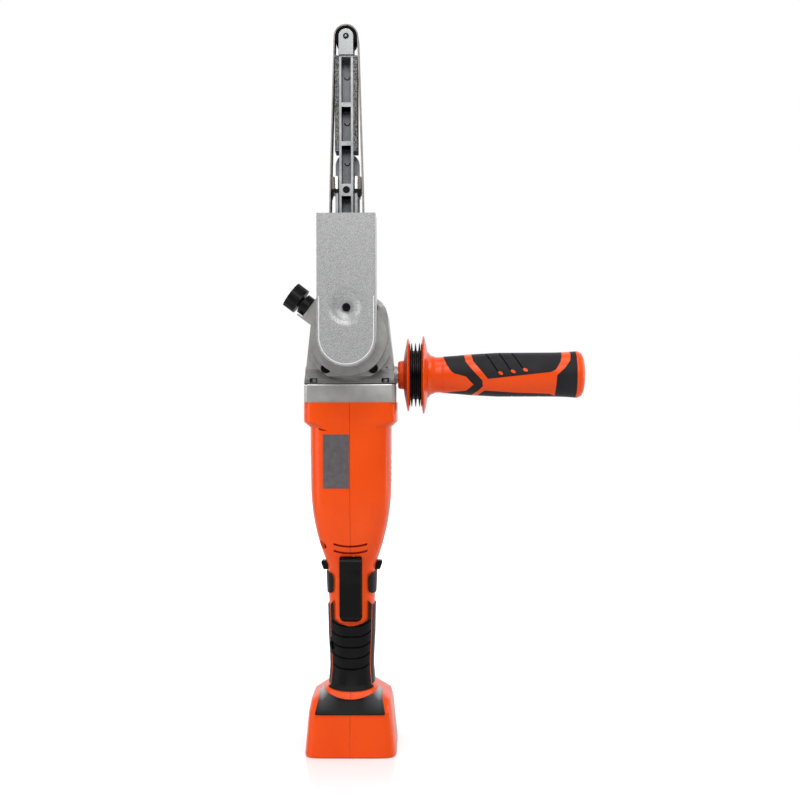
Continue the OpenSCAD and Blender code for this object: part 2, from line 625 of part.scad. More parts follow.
// Point of a tooth: cone angle, cone distance, height above the pitch cone
function tooth_point(cone, l, h) = let (k = l / gear_l)
    [l * sin(cone) + h * k * cos(cone), l * cos(cone) - h * k * sin(cone)];
module tooth(cone, tip_w, root_w) {
    ends = [gear_l - gear_face, gear_l];
    points = [for (l = ends) let (k = l / gear_l, r = tooth_point(cone, l, -root_h * 1.2), t = tooth_point(cone, l, tip_h))
        each [[r[0], -root_w * k, r[1]], [r[0], root_w * k, r[1]], [t[0], tip_w * k, t[1]], [t[0], -tip_w * k, t[1]]]];
    polyhedron(points, [[3, 2, 1, 0], [4, 5, 6, 7], [1, 5, 4, 0], [2, 6, 5, 1], [3, 7, 6, 2], [0, 4, 7, 3]]);
}
module gear_teeth(cone, count, tip_w, root_w, phase) for (k = [0:count - 1]) rotate([0, 0, phase + 360 / count * k])
    tooth(cone, tip_w, root_w);
module pinion_gear() color("#8a8e94") translate([0, 0, spindle_z]) mirror([0, 0, 1]) {
    a = tooth_point(pinion_cone, gear_l - gear_face, -root_h);
    b = tooth_point(pinion_cone, gear_l, -root_h);
    turned_z([[tip_r + seat, a[1]], a, b, [b[0] + 0.6, b[1]], [b[0] + 0.6, b[1] + 3], [tip_r + seat, b[1] + 3]]);
    gear_teeth(pinion_cone, pinion_teeth, 0.28, 0.72, 0);
}
module crown_gear() color("#7c8086") translate([0, 0, spindle_z]) rotate([90, 0, 0]) {
    a = tooth_point(crown_cone, gear_l - gear_face, -root_h);
    b = tooth_point(crown_cone, gear_l, -root_h);
    difference() {
        turned_z([[crown_bore_r + seat, a[1] - 0.2], [a[0] - 0.5, a[1] - 0.2], a, b, [b[0] + 1.2, b[1] + 0.4],
            [b[0] + 1.2, b[1] + 3], [9.5, b[1] + 3], [9.5, b[1] + 6], [crown_bore_r + seat, b[1] + 6]]);
        for (k = [0:5]) rotate([0, 0, 60 * k + 30]) translate([lock_hole_r, 0, 0]) cylinder(h = 9, r = lock_hole);
    }
    gear_teeth(crown_cone, crown_teeth, 0.28, 0.72, 180 / crown_teeth);
}

/* Gear head */

front_y = flange_d / 2 - 4;
plate_t = 4;
// Ends of the bosses for the side handle, and of their threads
boss_x = flange_w / 2 + 1.3;
handle_boss_r = handle_rise - 1;
stud_x0 = boss_x - 11.8;
// Radius of the flange's and the housing's upright corners
corner_r = 3;
ring_y = front_y + plate_t + 0.4;
disc_y = belt_y - 17;
rim_y = belt_y - 14;
spindle_bearing_r = 16;
spindle_bearing_w = 10;
rear_journal_r = 4.5;
rear_seat_r = 6.5;
rear_seat_y = 12;
rear_seat_w = 8;
button_rise = lock_hole_r;
button_r = lock_hole - 0.4;
// Inner end of the button's head at rest, and depth of its pocket
button_y = flange_d / 2 - 3.5;
button_pocket_y = button_y - 3.5;

module gear_flange() color("#7f7e7c") difference() {
    union() {
        difference() {
            translate([0, 0, flange_z]) linear_extrude(height = flange_h) rounded_rect(flange_w, flange_d, corner_r);
            rod_z(0, 0, flange_z - 1, flange_z + 5.5, 27);
        }
        rod_z(0, 0, flange_z + 0.5, flange_z + 6, motor_bearing_r + 2.5);
    }
    rod_z(0, 0, flange_z - 1, front_bearing_z + motor_bearing_w, motor_bearing_r + seat);
    rod_z(0, 0, flange_z, housing_z + 1, 8.2);
    for (x = [-1, 1]) for (y = [-1, 1]) rod_z(x * corner_x, y * corner_y, flange_z - 1, housing_z + 1, 2 + seat);
}
module gear_screws() color("#b8bcc0") for (x = [-1, 1]) for (y = [-1, 1]) difference() {
    union() {
        rod_z(x * corner_x, y * corner_y, collar_z + chamfer_h + 2.5, housing_z + 2.5, 2);
        rod_z(x * corner_x, y * corner_y, housing_z + 2, housing_z + 4.4, 3.2);
    }
    translate([x * corner_x, y * corner_y, housing_z + 3]) cylinder(h = 3, r = 1.5, $fn = 6);
}
module gear_housing() color("#a5a6a8") difference() {
    union() {
        intersection() {
            slab_y(-flange_d / 2, flange_d / 2 + 1) polygon(rounded([[-flange_w / 2, housing_z, 0], [flange_w / 2, housing_z, 0],
                [dome_w, dome_z, 15.7], [-dome_w, dome_z, 15.7]]));
            slab_x(-flange_w / 2, flange_w / 2) polygon(rounded([[-flange_d / 2, housing_z, 0],
                [flange_d / 2, housing_z, 0], [flange_d / 2, housing_z + 6, 3], [flange_d / 2 - 3, dome_z, 16],
                [-front_y, dome_z, 9], [-front_y, housing_z + 11, 3], [-flange_d / 2, housing_z + 4, 1.5]]));
            translate([0, 0, housing_z]) linear_extrude(height = dome_z - housing_z + 1)
                rounded_rect(flange_w + 0.6, flange_d + 0.6, corner_r);
        }
        for (side = [0, 1]) mirror([side, 0, 0]) rod_x(0, handle_z, boss_x - 12, boss_x, handle_boss_r);
    }
    difference() {
        union() {
            rod_y(0, spindle_z, -front_y + 5, 22, cavity_r);
            box([-24, -23, housing_z - 1], [24, 22, spindle_z]);
        }
        rod_y(0, spindle_z, rear_seat_y, 30, rear_seat_r + 2);
        for (side = [0, 1]) mirror([side, 0, 0]) rod_x(0, handle_z, boss_x - 14, boss_x, handle_boss_r);
    }
    rod_y(0, spindle_z, -flange_d / 2 - 1, -front_y, retainer_r + gap);
    rod_y(0, spindle_z, -front_y - 1, -front_y + 6, 24 + seat);
    rod_y(0, spindle_z, rear_seat_y - 1, rear_seat_y + rear_seat_w, rear_seat_r + seat);
    for (side = [0, 1]) mirror([side, 0, 0]) rod_x(0, handle_z, stud_x0, boss_x + 4, stud_r + seat);
    for (x = [-1, 1]) for (y = [-1, 1]) {
        rod_z(x * corner_x, y * corner_y, housing_z - 1, housing_z + 4, 2 + seat);
        rod_z(x * corner_x, y * corner_y, housing_z + 2, housing_z + 5.2, 3.6);
        // Notch to reach the screw's head
        translate([x * corner_x, y * flange_d / 2, housing_z + 3.1]) cube([6, 2 * (flange_d / 2 - corner_y), 3.6], center = true);
    }
    for (p = RETAINER_SCREWS) rod_y(p[0], p[1], -front_y - 1, -front_y + 11, 2 + seat);
    rod_y(0, spindle_z + button_rise, 0, flange_d, button_r + run);
    rod_y(0, spindle_z + button_rise, button_pocket_y, flange_d, 5 + gap);
    // Breather hole at the right
    rod_y(29, housing_z + 13, -front_y - 8, -front_y + 2, 1);
}
RETAINER_SCREWS = [for (a = [52, 128, 232, 308])
    [retainer_pcd_r * cos(a), spindle_z + retainer_pcd_r * sin(a)]];
module bearing_retainer() color("#9a9b9d") difference() {
    union() {
        intersection() {
            rod_y(0, spindle_z, -front_y - plate_t, -front_y, retainer_r);
            slab_y(-front_y - plate_t, -front_y) polygon([[1.4 - flange_w / 2, housing_z], [flange_w / 2 - 1.4, housing_z],
                [dome_w - 1.4, dome_z], [1.4 - dome_w, dome_z]]);
            box([-flange_w, -front_y - plate_t - 1, spindle_z - 29.8], [flange_w, 0, spindle_z + 31]);
        }
        rod_y(0, spindle_z, -front_y - 1, -front_y + 8, 24);
        rod_y(0, spindle_z, -disc_y + 0.4, -front_y, collar_r);
    }
    rod_y(0, spindle_z, -front_y - 2, -front_y + 9, spindle_bearing_r + seat);
    rod_y(0, spindle_z, -disc_y - 1, -front_y + 9, 10);
    for (p = RETAINER_SCREWS) {
        rod_y(p[0], p[1], -front_y - plate_t - 1, -front_y + 1, 2 + seat);
        rod_y(p[0], p[1], -front_y - plate_t - 1, -front_y - 1.2, 4.2);
    }
}
module retainer_screws() color("#202024") for (p = RETAINER_SCREWS) {
    rod_y(p[0], p[1], -front_y - 1.4, -front_y + 10, 2);
    rod_y(p[0], p[1], -front_y - 3, -front_y - 1.2, 3.6);
}
module spindle_bearings() color("#b8bcc0") {
    translate([0, -front_y - 2, spindle_z]) rotate([-90, 0, 0]) bearing(crown_bore_r + run, spindle_bearing_r, spindle_bearing_w);
    translate([0, rear_seat_y, spindle_z]) rotate([-90, 0, 0]) bearing(rear_journal_r + run, rear_seat_r, rear_seat_w - 0.5);
}
module spindle_lock_button() color("#202024") {
    rod_y(0, spindle_z + button_rise, -3.5, button_y + 1, button_r);
    rod_y(0, spindle_z + button_rise, button_y, flange_d / 2 + 4, 5);
}

/* Spindle and drive wheel */

wheel_r = 11;
wheel_y0 = belt_y - 10.5;
wheel_y1 = belt_y + 10.3;
spindle_end_r = 5;
module spindle() color("#a8acb0") turned_y(spindle_z, [
    [0, -wheel_y1 - 1.8], [spindle_end_r, -wheel_y1 - 1.8], [spindle_end_r, -wheel_y0], [8, -wheel_y0], [8, -rim_y - 0.8],
    [crown_bore_r, -rim_y - 0.8], [crown_bore_r, 0], [rear_journal_r, 6], [rear_journal_r, rear_seat_y + 7], [0, rear_seat_y + 7]
]);
module drive_wheel() color("#b4b6b8") turned_y(spindle_z, [
    [spindle_end_r + seat, -wheel_y1], [wheel_r, -wheel_y1], [wheel_r, -wheel_y0 - 0.1], [spindle_end_r + seat, -wheel_y0 - 0.1]
]);
module drive_tyre() color("#26262a") turned_y(spindle_z, [
    [wheel_r, -wheel_y1 + 0.3], [tyre_r - 0.6, -wheel_y1 + 0.3], [tyre_r, -wheel_y1 + 1], [tyre_r, -wheel_y0 - 1],
    [tyre_r - 0.6, -wheel_y0 - 0.4], [wheel_r, -wheel_y0 - 0.4]
]);
tyre_r = drive_r - belt_t / 2 - 0.2;
module wheel_nut() color("#8a8e94") difference() {
    translate([0, -wheel_y1 - 2.9, spindle_z]) rotate([-90, 0, 0]) cylinder(h = 2.85, r = 8, $fn = 6);
    rod_y(0, spindle_z, -wheel_y1 - 4, -wheel_y1 + 1, spindle_end_r + seat);
}

/* Sander head */

cover_z1 = spindle_z + cover_rise;
screw_z = spindle_z + cover_screw_rise;
guide_z0 = screw_z + 6.2;
guide_base_t = 4;
nose_z = spindle_z + (belt_len - PI * (drive_r + nose_r)) / 2 - 0.07;
shoe_z = nose_z - 109;
fork_z = nose_z - 14.1;
bar_y0 = belt_y - 9;
bar_y1 = bar_y0 + bar_d;
bar_z0 = guide_z0 + guide_base_t + arm_travel + 8;
spring_seat_z = bar_z0 + 14;
tongue_y = bar_y0 - gap;
tongue_z = shoe_z + 15.7;
cheek_x = bar_w / 2 + 0.8;
cheek_z1 = shoe_z - 8;
bracket_t = 2.6;
knob_y = ring_y + (disc_y - ring_y) / 2;
clamp_r = 29.4;
nut_x = 38.3;
cap_x = nut_x + 8;

module knob_place() translate([0, -knob_y, spindle_z]) rotate([0, -knob_angle, 0]) children();
module head_frame() color("#a5a6a8") difference() {
    union() {
        rod_y(0, spindle_z, -rim_y, -ring_y, clamp_r);
        slab_y(-rim_y, -disc_y) polygon(rounded([[-cover_w / 2, spindle_z, 0], [cover_w / 2, spindle_z, 0],
            [cover_w / 2, cover_z1 - 3, 2], [-cover_w / 2, cover_z1 - 3, 2]]));
        knob_place() {
            box([23, -disc_y + knob_y - 1, -10], [nut_x - 0.3, knob_y - ring_y - 0.3, 10]);
            box([nut_x - 1, -disc_y + knob_y - 1, 8.6], [42.3, knob_y - ring_y - 0.3, 10]);
        }
        rod_y(0, screw_z, -rim_y - 23.4, -rim_y + 1, 5);
    }
    rod_y(0, spindle_z, -disc_y, -ring_y + 1, collar_r + 0.1);
    rod_y(0, spindle_z, -rim_y - 1, -ring_y, 12);
    knob_place() rod_x(0, 0, 15, 50, knob_stud_r + run);
    rod_y(0, screw_z, -rim_y - 24, -rim_y - 10, 2 + seat);
}
knob_stud_r = 3;
module lock_knob() color("#19191b") knob_place() difference() {
    union() {
        rod_x(0, 0, cap_x, cap_x + knob_len, knob_r);
        rod_x(0, 0, cap_x - 1.2, cap_x + 1, 4.6);
    }
    for (k = [0:15]) rotate([22.5 * k, 0, 0]) translate([cap_x + 1.5, 0, knob_r + 0.45]) rotate([0, 90, 0])
        cylinder(h = knob_len, r = 0.9);
    rod_x(0, 0, cap_x - 2, cap_x + 5, knob_stud_r + seat);
}
module knob_nut() color("#19191b") knob_place() difference() {
    rod_x(0, 0, nut_x, nut_x + 6.2, nut_r);
    rod_x(0, 0, nut_x - 1, nut_x + 8, knob_stud_r + seat);
}
module knob_stud() color("#b8bcc0") knob_place() {
    rod_x(0, 0, collar_r + 0.4, cap_x + 4.8, knob_stud_r);
}
module arm_guide() color("#909294") {
    difference() {
        union() {
            slab_y(-tongue_y, -rim_y) union() {
                translate([-tongue_r, guide_z0]) square([2 * tongue_r, tongue_z - guide_z0]);
                translate([0, tongue_z]) circle(r = tongue_r);
            }
            box([-cheek_x - cheek_t, -bar_y1 + 1, guide_z0], [cheek_x + cheek_t, -rim_y, guide_z0 + guide_base_t]);
            for (side = [0, 1]) mirror([side, 0, 0])
                box([cheek_x, -bar_y1 + 1, guide_z0], [cheek_x + cheek_t, -tongue_y + 1, cheek_z1]);
        }
    }
    rod_z(0, -belt_y, guide_z0 + 1, guide_z0 + guide_base_t + 8, 1.8);
}
module shoe_bracket() color("#202022") for (side = [0, 1]) mirror([side, 0, 0]) {
    box([cheek_x, -bar_y1, cheek_z1], [shoe_x, -bar_y0 - 0.5, cheek_z1 + bracket_t]);
    slab_y(-bar_y1, -bar_y1 + 3) polygon([[shoe_x - 2, cheek_z1 + 0.1], [shoe_x - 0.8, cheek_z1 - 5.5], [shoe_x, cheek_z1 + 0.1]]);
}
shoe_x = shoe_reach - belt_t / 2 - 0.35;
shoe_z0 = cheek_z1 + bracket_t;
module belt_shoes() color("#4a3a34") for (side = [0, 1]) mirror([side, 0, 0])
    box([shoe_x - 2.4, -bar_y1, shoe_z0], [shoe_x, -bar_y0 - 0.5, shoe_z + 4]);
module shoe_springs() color("#d8d8d8") for (side = [0, 1]) mirror([side, 0, 0])
    slab_y(-bar_y1 - 0.3, -bar_y1 + 9) polygon(rounded([[shoe_x - 4.9, shoe_z0, 0], [shoe_x - 2.7, shoe_z0, 0],
        [shoe_x - 2.7, shoe_z + 4.2, 0.9], [shoe_x - 4.9, shoe_z + 4.2, 0.9]]));

module cover_outline(inset) {
    w = cover_w / 2 - inset;
    translate([0, spindle_z - cover_drop]) circle(r = w);
    translate([-w, spindle_z - cover_drop]) square([2 * w, cover_drop + cover_rise + inset * 2]);
}
module belt_cover() color("#afb0b2") {
    y1 = rim_y + cover_d;
    floor_y = rim_y + 23.4;
    difference() {
        union() {
            difference() {
                slab_y(-y1, -rim_y) cover_outline(0);
                slab_y(-y1 + cover_t, -rim_y + 1) cover_outline(cover_t);
                box([-cover_w, -y1 - 1, cover_z1], [cover_w, -rim_y + 1, cover_z1 + 10]);
            }
            turned_y(screw_z, [[0, -floor_y], [5, -floor_y], [dimple_r + 1.6, -y1 + cover_t + 0.2], [dimple_r + 1.6, -y1 + 1], [0, -y1 + 1]]);
        }
        turned_y(screw_z, [[0, -floor_y - 2], [4.2, -floor_y - 2], [dimple_r, -y1 - 0.01], [dimple_r, -y1 - 1], [0, -y1 - 1]]);
        rod_y(0, screw_z, -y1 - 1, -rim_y, 2.2);
    }
}
module cover_screw() color("#202024") difference() {
    union() {
        rod_y(0, screw_z, -rim_y - 25.5, -rim_y - 11, 2);
        rod_y(0, screw_z, -rim_y - 27.6, -rim_y - 25.42, 3.1);
    }
    translate([0, -rim_y - 28, screw_z]) rotate([-90, 0, 0]) cylinder(h = 1.6, r = 1.7, $fn = 6);
}

// The belt's loop, outer face with side 1 and inner face with side -1: two arcs, and flats that the shoes spread a little
module belt_outline(side) {
    r0 = drive_r + side * belt_t / 2;
    r1 = nose_r + side * belt_t / 2;
    s = shoe_reach + side * belt_t / 2;
    a0 = atan((drive_r - shoe_reach) / (shoe_z - spindle_z));
    a1 = atan((shoe_reach - nose_r) / (nose_z - shoe_z));
    half = [[r0 * cos(a0), spindle_z + r0 * sin(a0)], [s, shoe_z], [r1 * cos(a1), nose_z + r1 * sin(a1)]];
    translate([0, spindle_z]) circle(r = r0);
    translate([0, nose_z]) circle(r = r1);
    polygon(concat(half, [for (i = [2:-1:0]) [-half[i][0], half[i][1]]]));
}
module sanding_belt() color("#7a6a62") slab_y(-belt_y - belt_w / 2, -belt_y + belt_w / 2) difference() {
    belt_outline(1);
    belt_outline(-1);
}

/* Arm */

POCKETS = [[fork_z - 35.3, fork_z - 1.1], [fork_z - 64.4, fork_z - 38.6], [fork_z - 96.3, fork_z - 67.7],
    [bar_z0 + 20, fork_z - 105.5]];
arm_screw_z = fork_z - 100.8;
module arm_bar() color("#8e9092") difference() {
    box([-bar_w / 2, -bar_y1, bar_z0], [bar_w / 2, -bar_y0, fork_z]);
    for (p = POCKETS) box([-pocket_w / 2, -bar_y1 - 1, p[0]], [pocket_w / 2, -bar_y1 + pocket_d, p[1]]);
    rod_z(0, -belt_y, bar_z0 - 1, spring_seat_z, 4.6);
    rod_y(0, arm_screw_z, -bar_y1 - 1, -bar_y1 + 12, 1.4 + seat);
    rod_y(0, arm_screw_z, -bar_y1 - 1, -bar_y1 + 1.5, 2.7);
}
module arm_screw() color("#151517") {
    rod_y(0, arm_screw_z, -bar_y1 + 1.4, -bar_y1 + 11, 1.4);
    rod_y(0, arm_screw_z, -bar_y1 - 0.4, -bar_y1 + 1.45, 2.5);
}
module platen_pads() color("#57544f") for (side = [0, 1]) mirror([side, 0, 0])
    box([bar_w / 2, -bar_y1 - 0.4, fork_z - 71.7], [bar_w / 2 + pad_t, -bar_y0, fork_z]);
fork_w = 11.2;
axle_r = 2;
roller_r = nose_r - belt_t / 2 - 0.15;
module nose_fork() color("#e2e3e4") difference() {
    slab_y(-bar_y1 - 2, -bar_y0 + 2) union() {
        translate([0, nose_z]) circle(r = fork_w / 2);
        translate([-fork_w / 2, fork_z]) square([fork_w, nose_z - fork_z]);
    }
    box([-fork_w, -bar_y1 - 0.1, fork_z + 3.6], [fork_w, -bar_y0 + 0.1, nose_z + 10]);
    rod_y(0, nose_z, -bar_y1 - 3, -bar_y0 + 3, axle_r + seat);
}
module nose_axle() color("#6a6c70") rod_y(0, nose_z, -bar_y1 - 2.5, -bar_y0 + 2.5, axle_r);
module nose_roller() color("#241c1a") difference() {
    rod_y(0, nose_z, -bar_y1 + 0.3, -bar_y0 - 0.3, roller_r);
    rod_y(0, nose_z, -bar_y1, -bar_y0, 5 + seat);
}
module nose_bearings() color("#b8bcc0") for (y = [-bar_y1 + 0.4, -bar_y0 - 4.4])
    translate([0, y, nose_z]) rotate([-90, 0, 0]) bearing(axle_r + run, 5, 4);

// Coil of round wire between two heights
function coil_point(z0, z1, turns, r, wire, k, side, steps) =
    let (a = 360 * turns * k / steps, q = 60 * side, rr = r + wire * cos(q))
    [rr * cos(a), rr * sin(a), z0 + (z1 - z0) * k / steps + wire * sin(q)];
module coil(z0, z1, turns, r, wire) {
    steps = 12 * turns;
    points = [for (k = [0:steps]) for (side = [0:5]) coil_point(z0, z1, turns, r, wire, k, side, steps)];
    faces = concat([[for (j = [0:5]) j]], [[for (j = [5:-1:0]) steps * 6 + j]],
        [for (k = [0:steps - 1]) for (j = [0:5]) each [
            [k * 6 + j, (k + 1) * 6 + j, (k + 1) * 6 + (j + 1) % 6], [k * 6 + j, (k + 1) * 6 + (j + 1) % 6, k * 6 + (j + 1) % 6]]]);
    polyhedron(points, faces);
}
module tension_spring() color("#c0c4c8") translate([0, -belt_y, 0])
    coil(guide_z0 + guide_base_t + 0.6, spring_seat_z - 0.6, 6, 3.4, 0.5);

/* Side handle */

hub_x = boss_x + 0.5;
damper_x0 = hub_x + 9.9;
damper_x1 = damper_x0 + 8.4;
sleeve_x0 = damper_x1 + 18.3;
sleeve_x1 = sleeve_x0 + handle_len;
end_x = sleeve_x1 + 7.2;
module handle_stud() color("#b8bcc0") {
    rod_x(0, handle_z, stud_x0 + 0.5, damper_x1 + 30, stud_r);
    rod_x(0, handle_z, boss_x + 0.1, hub_x, 6.2);
}
module handle_front_flange() color("#ee5219") turned_x(handle_z, [
    [stud_r + seat, hub_x], [10, hub_x], [11.2, hub_x + 1.2], [11.6, hub_x + 4.6], [17, hub_x + 5.2],
    [24, hub_x + 6.6], [front_flange_r, hub_x + 7.6], [front_flange_r, hub_x + 8.5], [26, hub_x + 9.4],
    [24, damper_x0], [stud_r + seat, damper_x0]
]);
module handle_damper() color("#101012") turned_x(handle_z, concat(
    [[stud_r + seat, damper_x0], [fin_r - 6, damper_x0]],
    [for (k = [0:2]) let (x = damper_x0 + 1.1 + k * 3.1) each [[fin_r - 6, x - 1], [fin_r, x - 0.3], [fin_r, x + 0.3], [fin_r - 6, x + 1]]],
    [[fin_r - 6, damper_x1], [stud_r + seat, damper_x1]]
));
// Outer radius of the grip along its length
GRIP_SHAPE = [[0, neck_r + 0.5], [0.1, neck_r + 1.2], [0.19, neck_r + 2.1], [0.3, palm_r - 0.6], [0.41, palm_r],
    [0.84, palm_r + 0.1], [0.93, palm_r + 0.4], [1, palm_r + 1]];
function grip_outline(grow) = [for (p = GRIP_SHAPE) [p[1] + grow, sleeve_x0 + p[0] * handle_len]];
module handle_core() color("#ee5219") {
    turned_x(handle_z, concat(
        [[stud_r + seat, damper_x1], [24, damper_x1], [26, damper_x1 + 0.6], [rear_flange_r, damper_x1 + 1.6],
         [rear_flange_r, damper_x1 + 2.6], [26, damper_x1 + 4], [19, damper_x1 + 5.2], [15.7, damper_x1 + 8],
         [neck_r, damper_x1 + 12], [neck_r, damper_x1 + 15.6], [neck_r + 0.5, sleeve_x0]],
        grip_outline(-sleeve_t),
        [[12, sleeve_x1], [12, sleeve_x1 - 20], [stud_r + seat, sleeve_x1 - 20]]
    ));
    // Orange faces that fill the windows of the rubber
    intersection() {
        turned_x(handle_z, concat(grip_outline(-0.15), reversed(grip_outline(-sleeve_t - 1))));
        grip_windows();
    }
}
function reversed(list) = [for (i = [len(list) - 1:-1:0]) list[i]];
// Orange windows in the rubber, as [along the handle, height] points from the start of the rubber, 105 long
WINDOWS = [
    [[-1, 20], [0.2, 12.7], [2.2, 7.9], [5.7, 2.5], [8.2, 0.8], [17.2, -1.7], [23.4, -8.2], [17.7, -13], [8.2, -13.8],
     [0.7, -14.8], [-1, -20]],
    [[16, 22], [22, 22], [22, 16.1], [23.2, 10.6], [34.7, -3.7], [84.2, 1.6], [88.2, 3.6], [92.2, 10.1], [93.7, 15.6],
     [93.7, 22], [100.5, 22], [100.7, 15.6], [99.7, 10.6], [95.7, 5.1], [89.2, -0.9], [88.2, -17.4], [84.2, -15.7],
     [57.2, -14.7], [32.2, -12.9], [27.5, -16.2], [22, -20], [17, -20], [22.2, -16.1], [27.2, -12.9], [30.7, -9.4], [30.2, -4.9],
     [21.7, 4.3], [17.4, 9.9], [16.2, 15.6]]
];
module grip_windows() for (side = [-1, 1]) translate([sleeve_x0, 0, handle_z])
    slab_y(side < 0 ? -30 : 1, side < 0 ? -1 : 30) for (w = WINDOWS) scale([handle_len / 105, 1]) polygon(w);
module handle_rubber() color("#312f32") difference() {
    turned_x(handle_z, concat(grip_outline(0), reversed(grip_outline(-sleeve_t))));
    grip_windows();
}
module handle_end_cap() color("#ee5219") turned_x(handle_z, [
    [0, sleeve_x1 - 8], [11.9, sleeve_x1 - 8], [11.9, sleeve_x1], [palm_r + 1.2, sleeve_x1], [palm_r + 1.1, sleeve_x1 + 2],
    [palm_r - 0.2, sleeve_x1 + 4.6], [palm_r - 3, end_x - 0.9], [palm_r - 7.5, end_x], [0, end_x]
]);

housing_left();
housing_right();
grip_left();
grip_right();
foot_aprons();
label_plate();
housing_screws();
gear_flange();
gear_housing();
gear_screws();
bearing_retainer();
retainer_screws();
spindle_bearings();
motor_bearings();
motor_can();
motor_magnets();
brush_plate();
carbon_brushes();
motor_shaft();
armature_core();
armature_windings();
commutator();
cooling_fan();
pinion_gear();
spindle();
crown_gear();
drive_wheel();
drive_tyre();
wheel_nut();
head_frame();
arm_guide();
shoe_bracket();
belt_shoes();
shoe_springs();
belt_cover();
cover_screw();
sanding_belt();
tension_spring();
arm_bar();
arm_screw();
platen_pads();
nose_fork();
nose_axle();
nose_roller();
nose_bearings();
lock_knob();
knob_nut();
knob_stud();
handle_stud();
handle_front_flange();
handle_damper();
handle_core();
handle_rubber();
handle_end_cap();
trigger();
lock_off_bar();
switch_module();
control_board();
terminal_block();
spindle_lock_button();
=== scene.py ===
# %% [markdown]
# # A cordless narrow-belt sander
#
# The tool stands on its battery foot. An orange plastic housing in two halves holds
# the motor, a cast gear head sits on top of it, and a narrow sanding belt runs over a
# long arm that points up. A side handle screws into the head.
# The solids of the CAD model are loaded first. They stay where they are, and every new
# piece takes its place from them, so nothing has to be fitted by eye.

# %% Load the CAD frame
import json
from math import radians, sqrt

import bpy
from mathutils import Matrix, Vector


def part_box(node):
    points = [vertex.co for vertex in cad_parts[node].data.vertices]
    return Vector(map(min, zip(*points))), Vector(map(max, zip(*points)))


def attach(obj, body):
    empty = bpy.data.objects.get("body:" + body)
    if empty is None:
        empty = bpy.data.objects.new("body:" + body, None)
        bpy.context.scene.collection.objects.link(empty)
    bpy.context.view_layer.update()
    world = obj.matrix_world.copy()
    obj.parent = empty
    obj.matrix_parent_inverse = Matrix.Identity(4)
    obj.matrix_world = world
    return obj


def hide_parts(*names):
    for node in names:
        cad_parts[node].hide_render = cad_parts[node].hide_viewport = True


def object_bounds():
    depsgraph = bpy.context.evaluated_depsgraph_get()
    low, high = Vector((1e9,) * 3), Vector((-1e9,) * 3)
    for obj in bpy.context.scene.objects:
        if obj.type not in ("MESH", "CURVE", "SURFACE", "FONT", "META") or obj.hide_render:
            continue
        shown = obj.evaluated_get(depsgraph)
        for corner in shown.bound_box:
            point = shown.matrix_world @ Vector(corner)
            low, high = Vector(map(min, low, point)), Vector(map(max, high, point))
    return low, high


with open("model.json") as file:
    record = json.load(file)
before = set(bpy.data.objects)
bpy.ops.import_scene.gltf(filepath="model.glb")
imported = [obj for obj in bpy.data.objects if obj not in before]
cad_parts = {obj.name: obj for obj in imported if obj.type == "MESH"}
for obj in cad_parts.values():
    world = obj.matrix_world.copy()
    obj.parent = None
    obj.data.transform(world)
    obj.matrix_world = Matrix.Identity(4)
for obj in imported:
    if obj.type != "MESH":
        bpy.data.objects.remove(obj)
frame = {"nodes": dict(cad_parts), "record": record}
cad_low, cad_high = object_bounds()
bpy.ops.object.select_all(action="DESELECT")
MM = 0.001
print("nodes:", len(frame["nodes"]), "height in mm:", round((cad_high.z - cad_low.z) / MM))

# %% [markdown]
# ## Camera
# The tool is seen from the front, from about a metre away and from about the middle of
# its height. A lens of 56 mm on a 36 mm sensor takes in the whole tool with a little
# room. A camera can be aimed by a constraint on a target, but a matrix says the same in
# one line: it is moved, turned a little to the side, tilted up from looking straight
# down, and leant by a hair.

# %% Camera
CAMERA_PLACE = (0.0536, -0.998, 0.271)
CAMERA_TURN = 0.85
CAMERA_TILT = 90.34
CAMERA_LEAN = -0.15
camera_data = bpy.data.cameras.new("camera")
camera_data.sensor_width = 36
camera_data.lens = 55.9
camera = bpy.data.objects.new("camera", camera_data)
bpy.context.scene.collection.objects.link(camera)
bpy.context.scene.camera = camera
turn = Matrix.Rotation(radians(CAMERA_TURN), 4, "Z")
tilt = Matrix.Rotation(radians(CAMERA_TILT), 4, "X")
lean = Matrix.Rotation(radians(CAMERA_LEAN), 4, "Z")
camera.matrix_world = Matrix.Translation(CAMERA_PLACE) @ turn @ tilt @ lean
print("camera height in mm:", round(CAMERA_PLACE[2] / MM), "lens:", round(camera_data.lens, 1))

# %% [markdown]
# ## Light
# Light, floor and finishes are small networks of shader nodes. Three helpers keep them
# short: one adds a node and sets its inputs, one maps a value from one range to another,
# and one does a sum with values.


# %% Helpers for shader nodes
def add_node(tree, kind, **values):
    """Adds a shader node and sets inputs: From_Min is the input that is called From Min."""
    node = tree.nodes.new("ShaderNode" + kind)
    for name, value in values.items():
        node.inputs[name.replace("_", " ")].default_value = value
    return node


def spread(tree, source, **limits):
    """Maps a value from one range to another; returns the new value's socket."""
    node = add_node(tree, "MapRange", **limits)
    tree.links.new(source, node.inputs["Value"])
    return node.outputs["Result"]


def calculate(tree, operation, *sources):
    """Works out a sum, such as ADD or ABSOLUTE, on one or two sockets."""
    node = add_node(tree, "Math")
    node.operation = operation
    for source, socket in zip(sources, node.inputs):
        tree.links.new(source, socket)
    return node.outputs[0]


shader_kinds = [name for name in dir(bpy.types) if name.startswith("ShaderNode")]
print("kinds of shader nodes to choose from:", len(shader_kinds))

# %% [markdown]
# A tool like this is lit in a tent of white cloth. The tent is only a weak fill, a
# little brighter towards its top. Glossy surfaces see a brighter wall behind the tool
# and one on each side, as polished metal would in a real tent. The camera sees plain
# white, which adds no light to the tool. A picture of a studio could do all this, but a
# few nodes need no file and are easy to change.

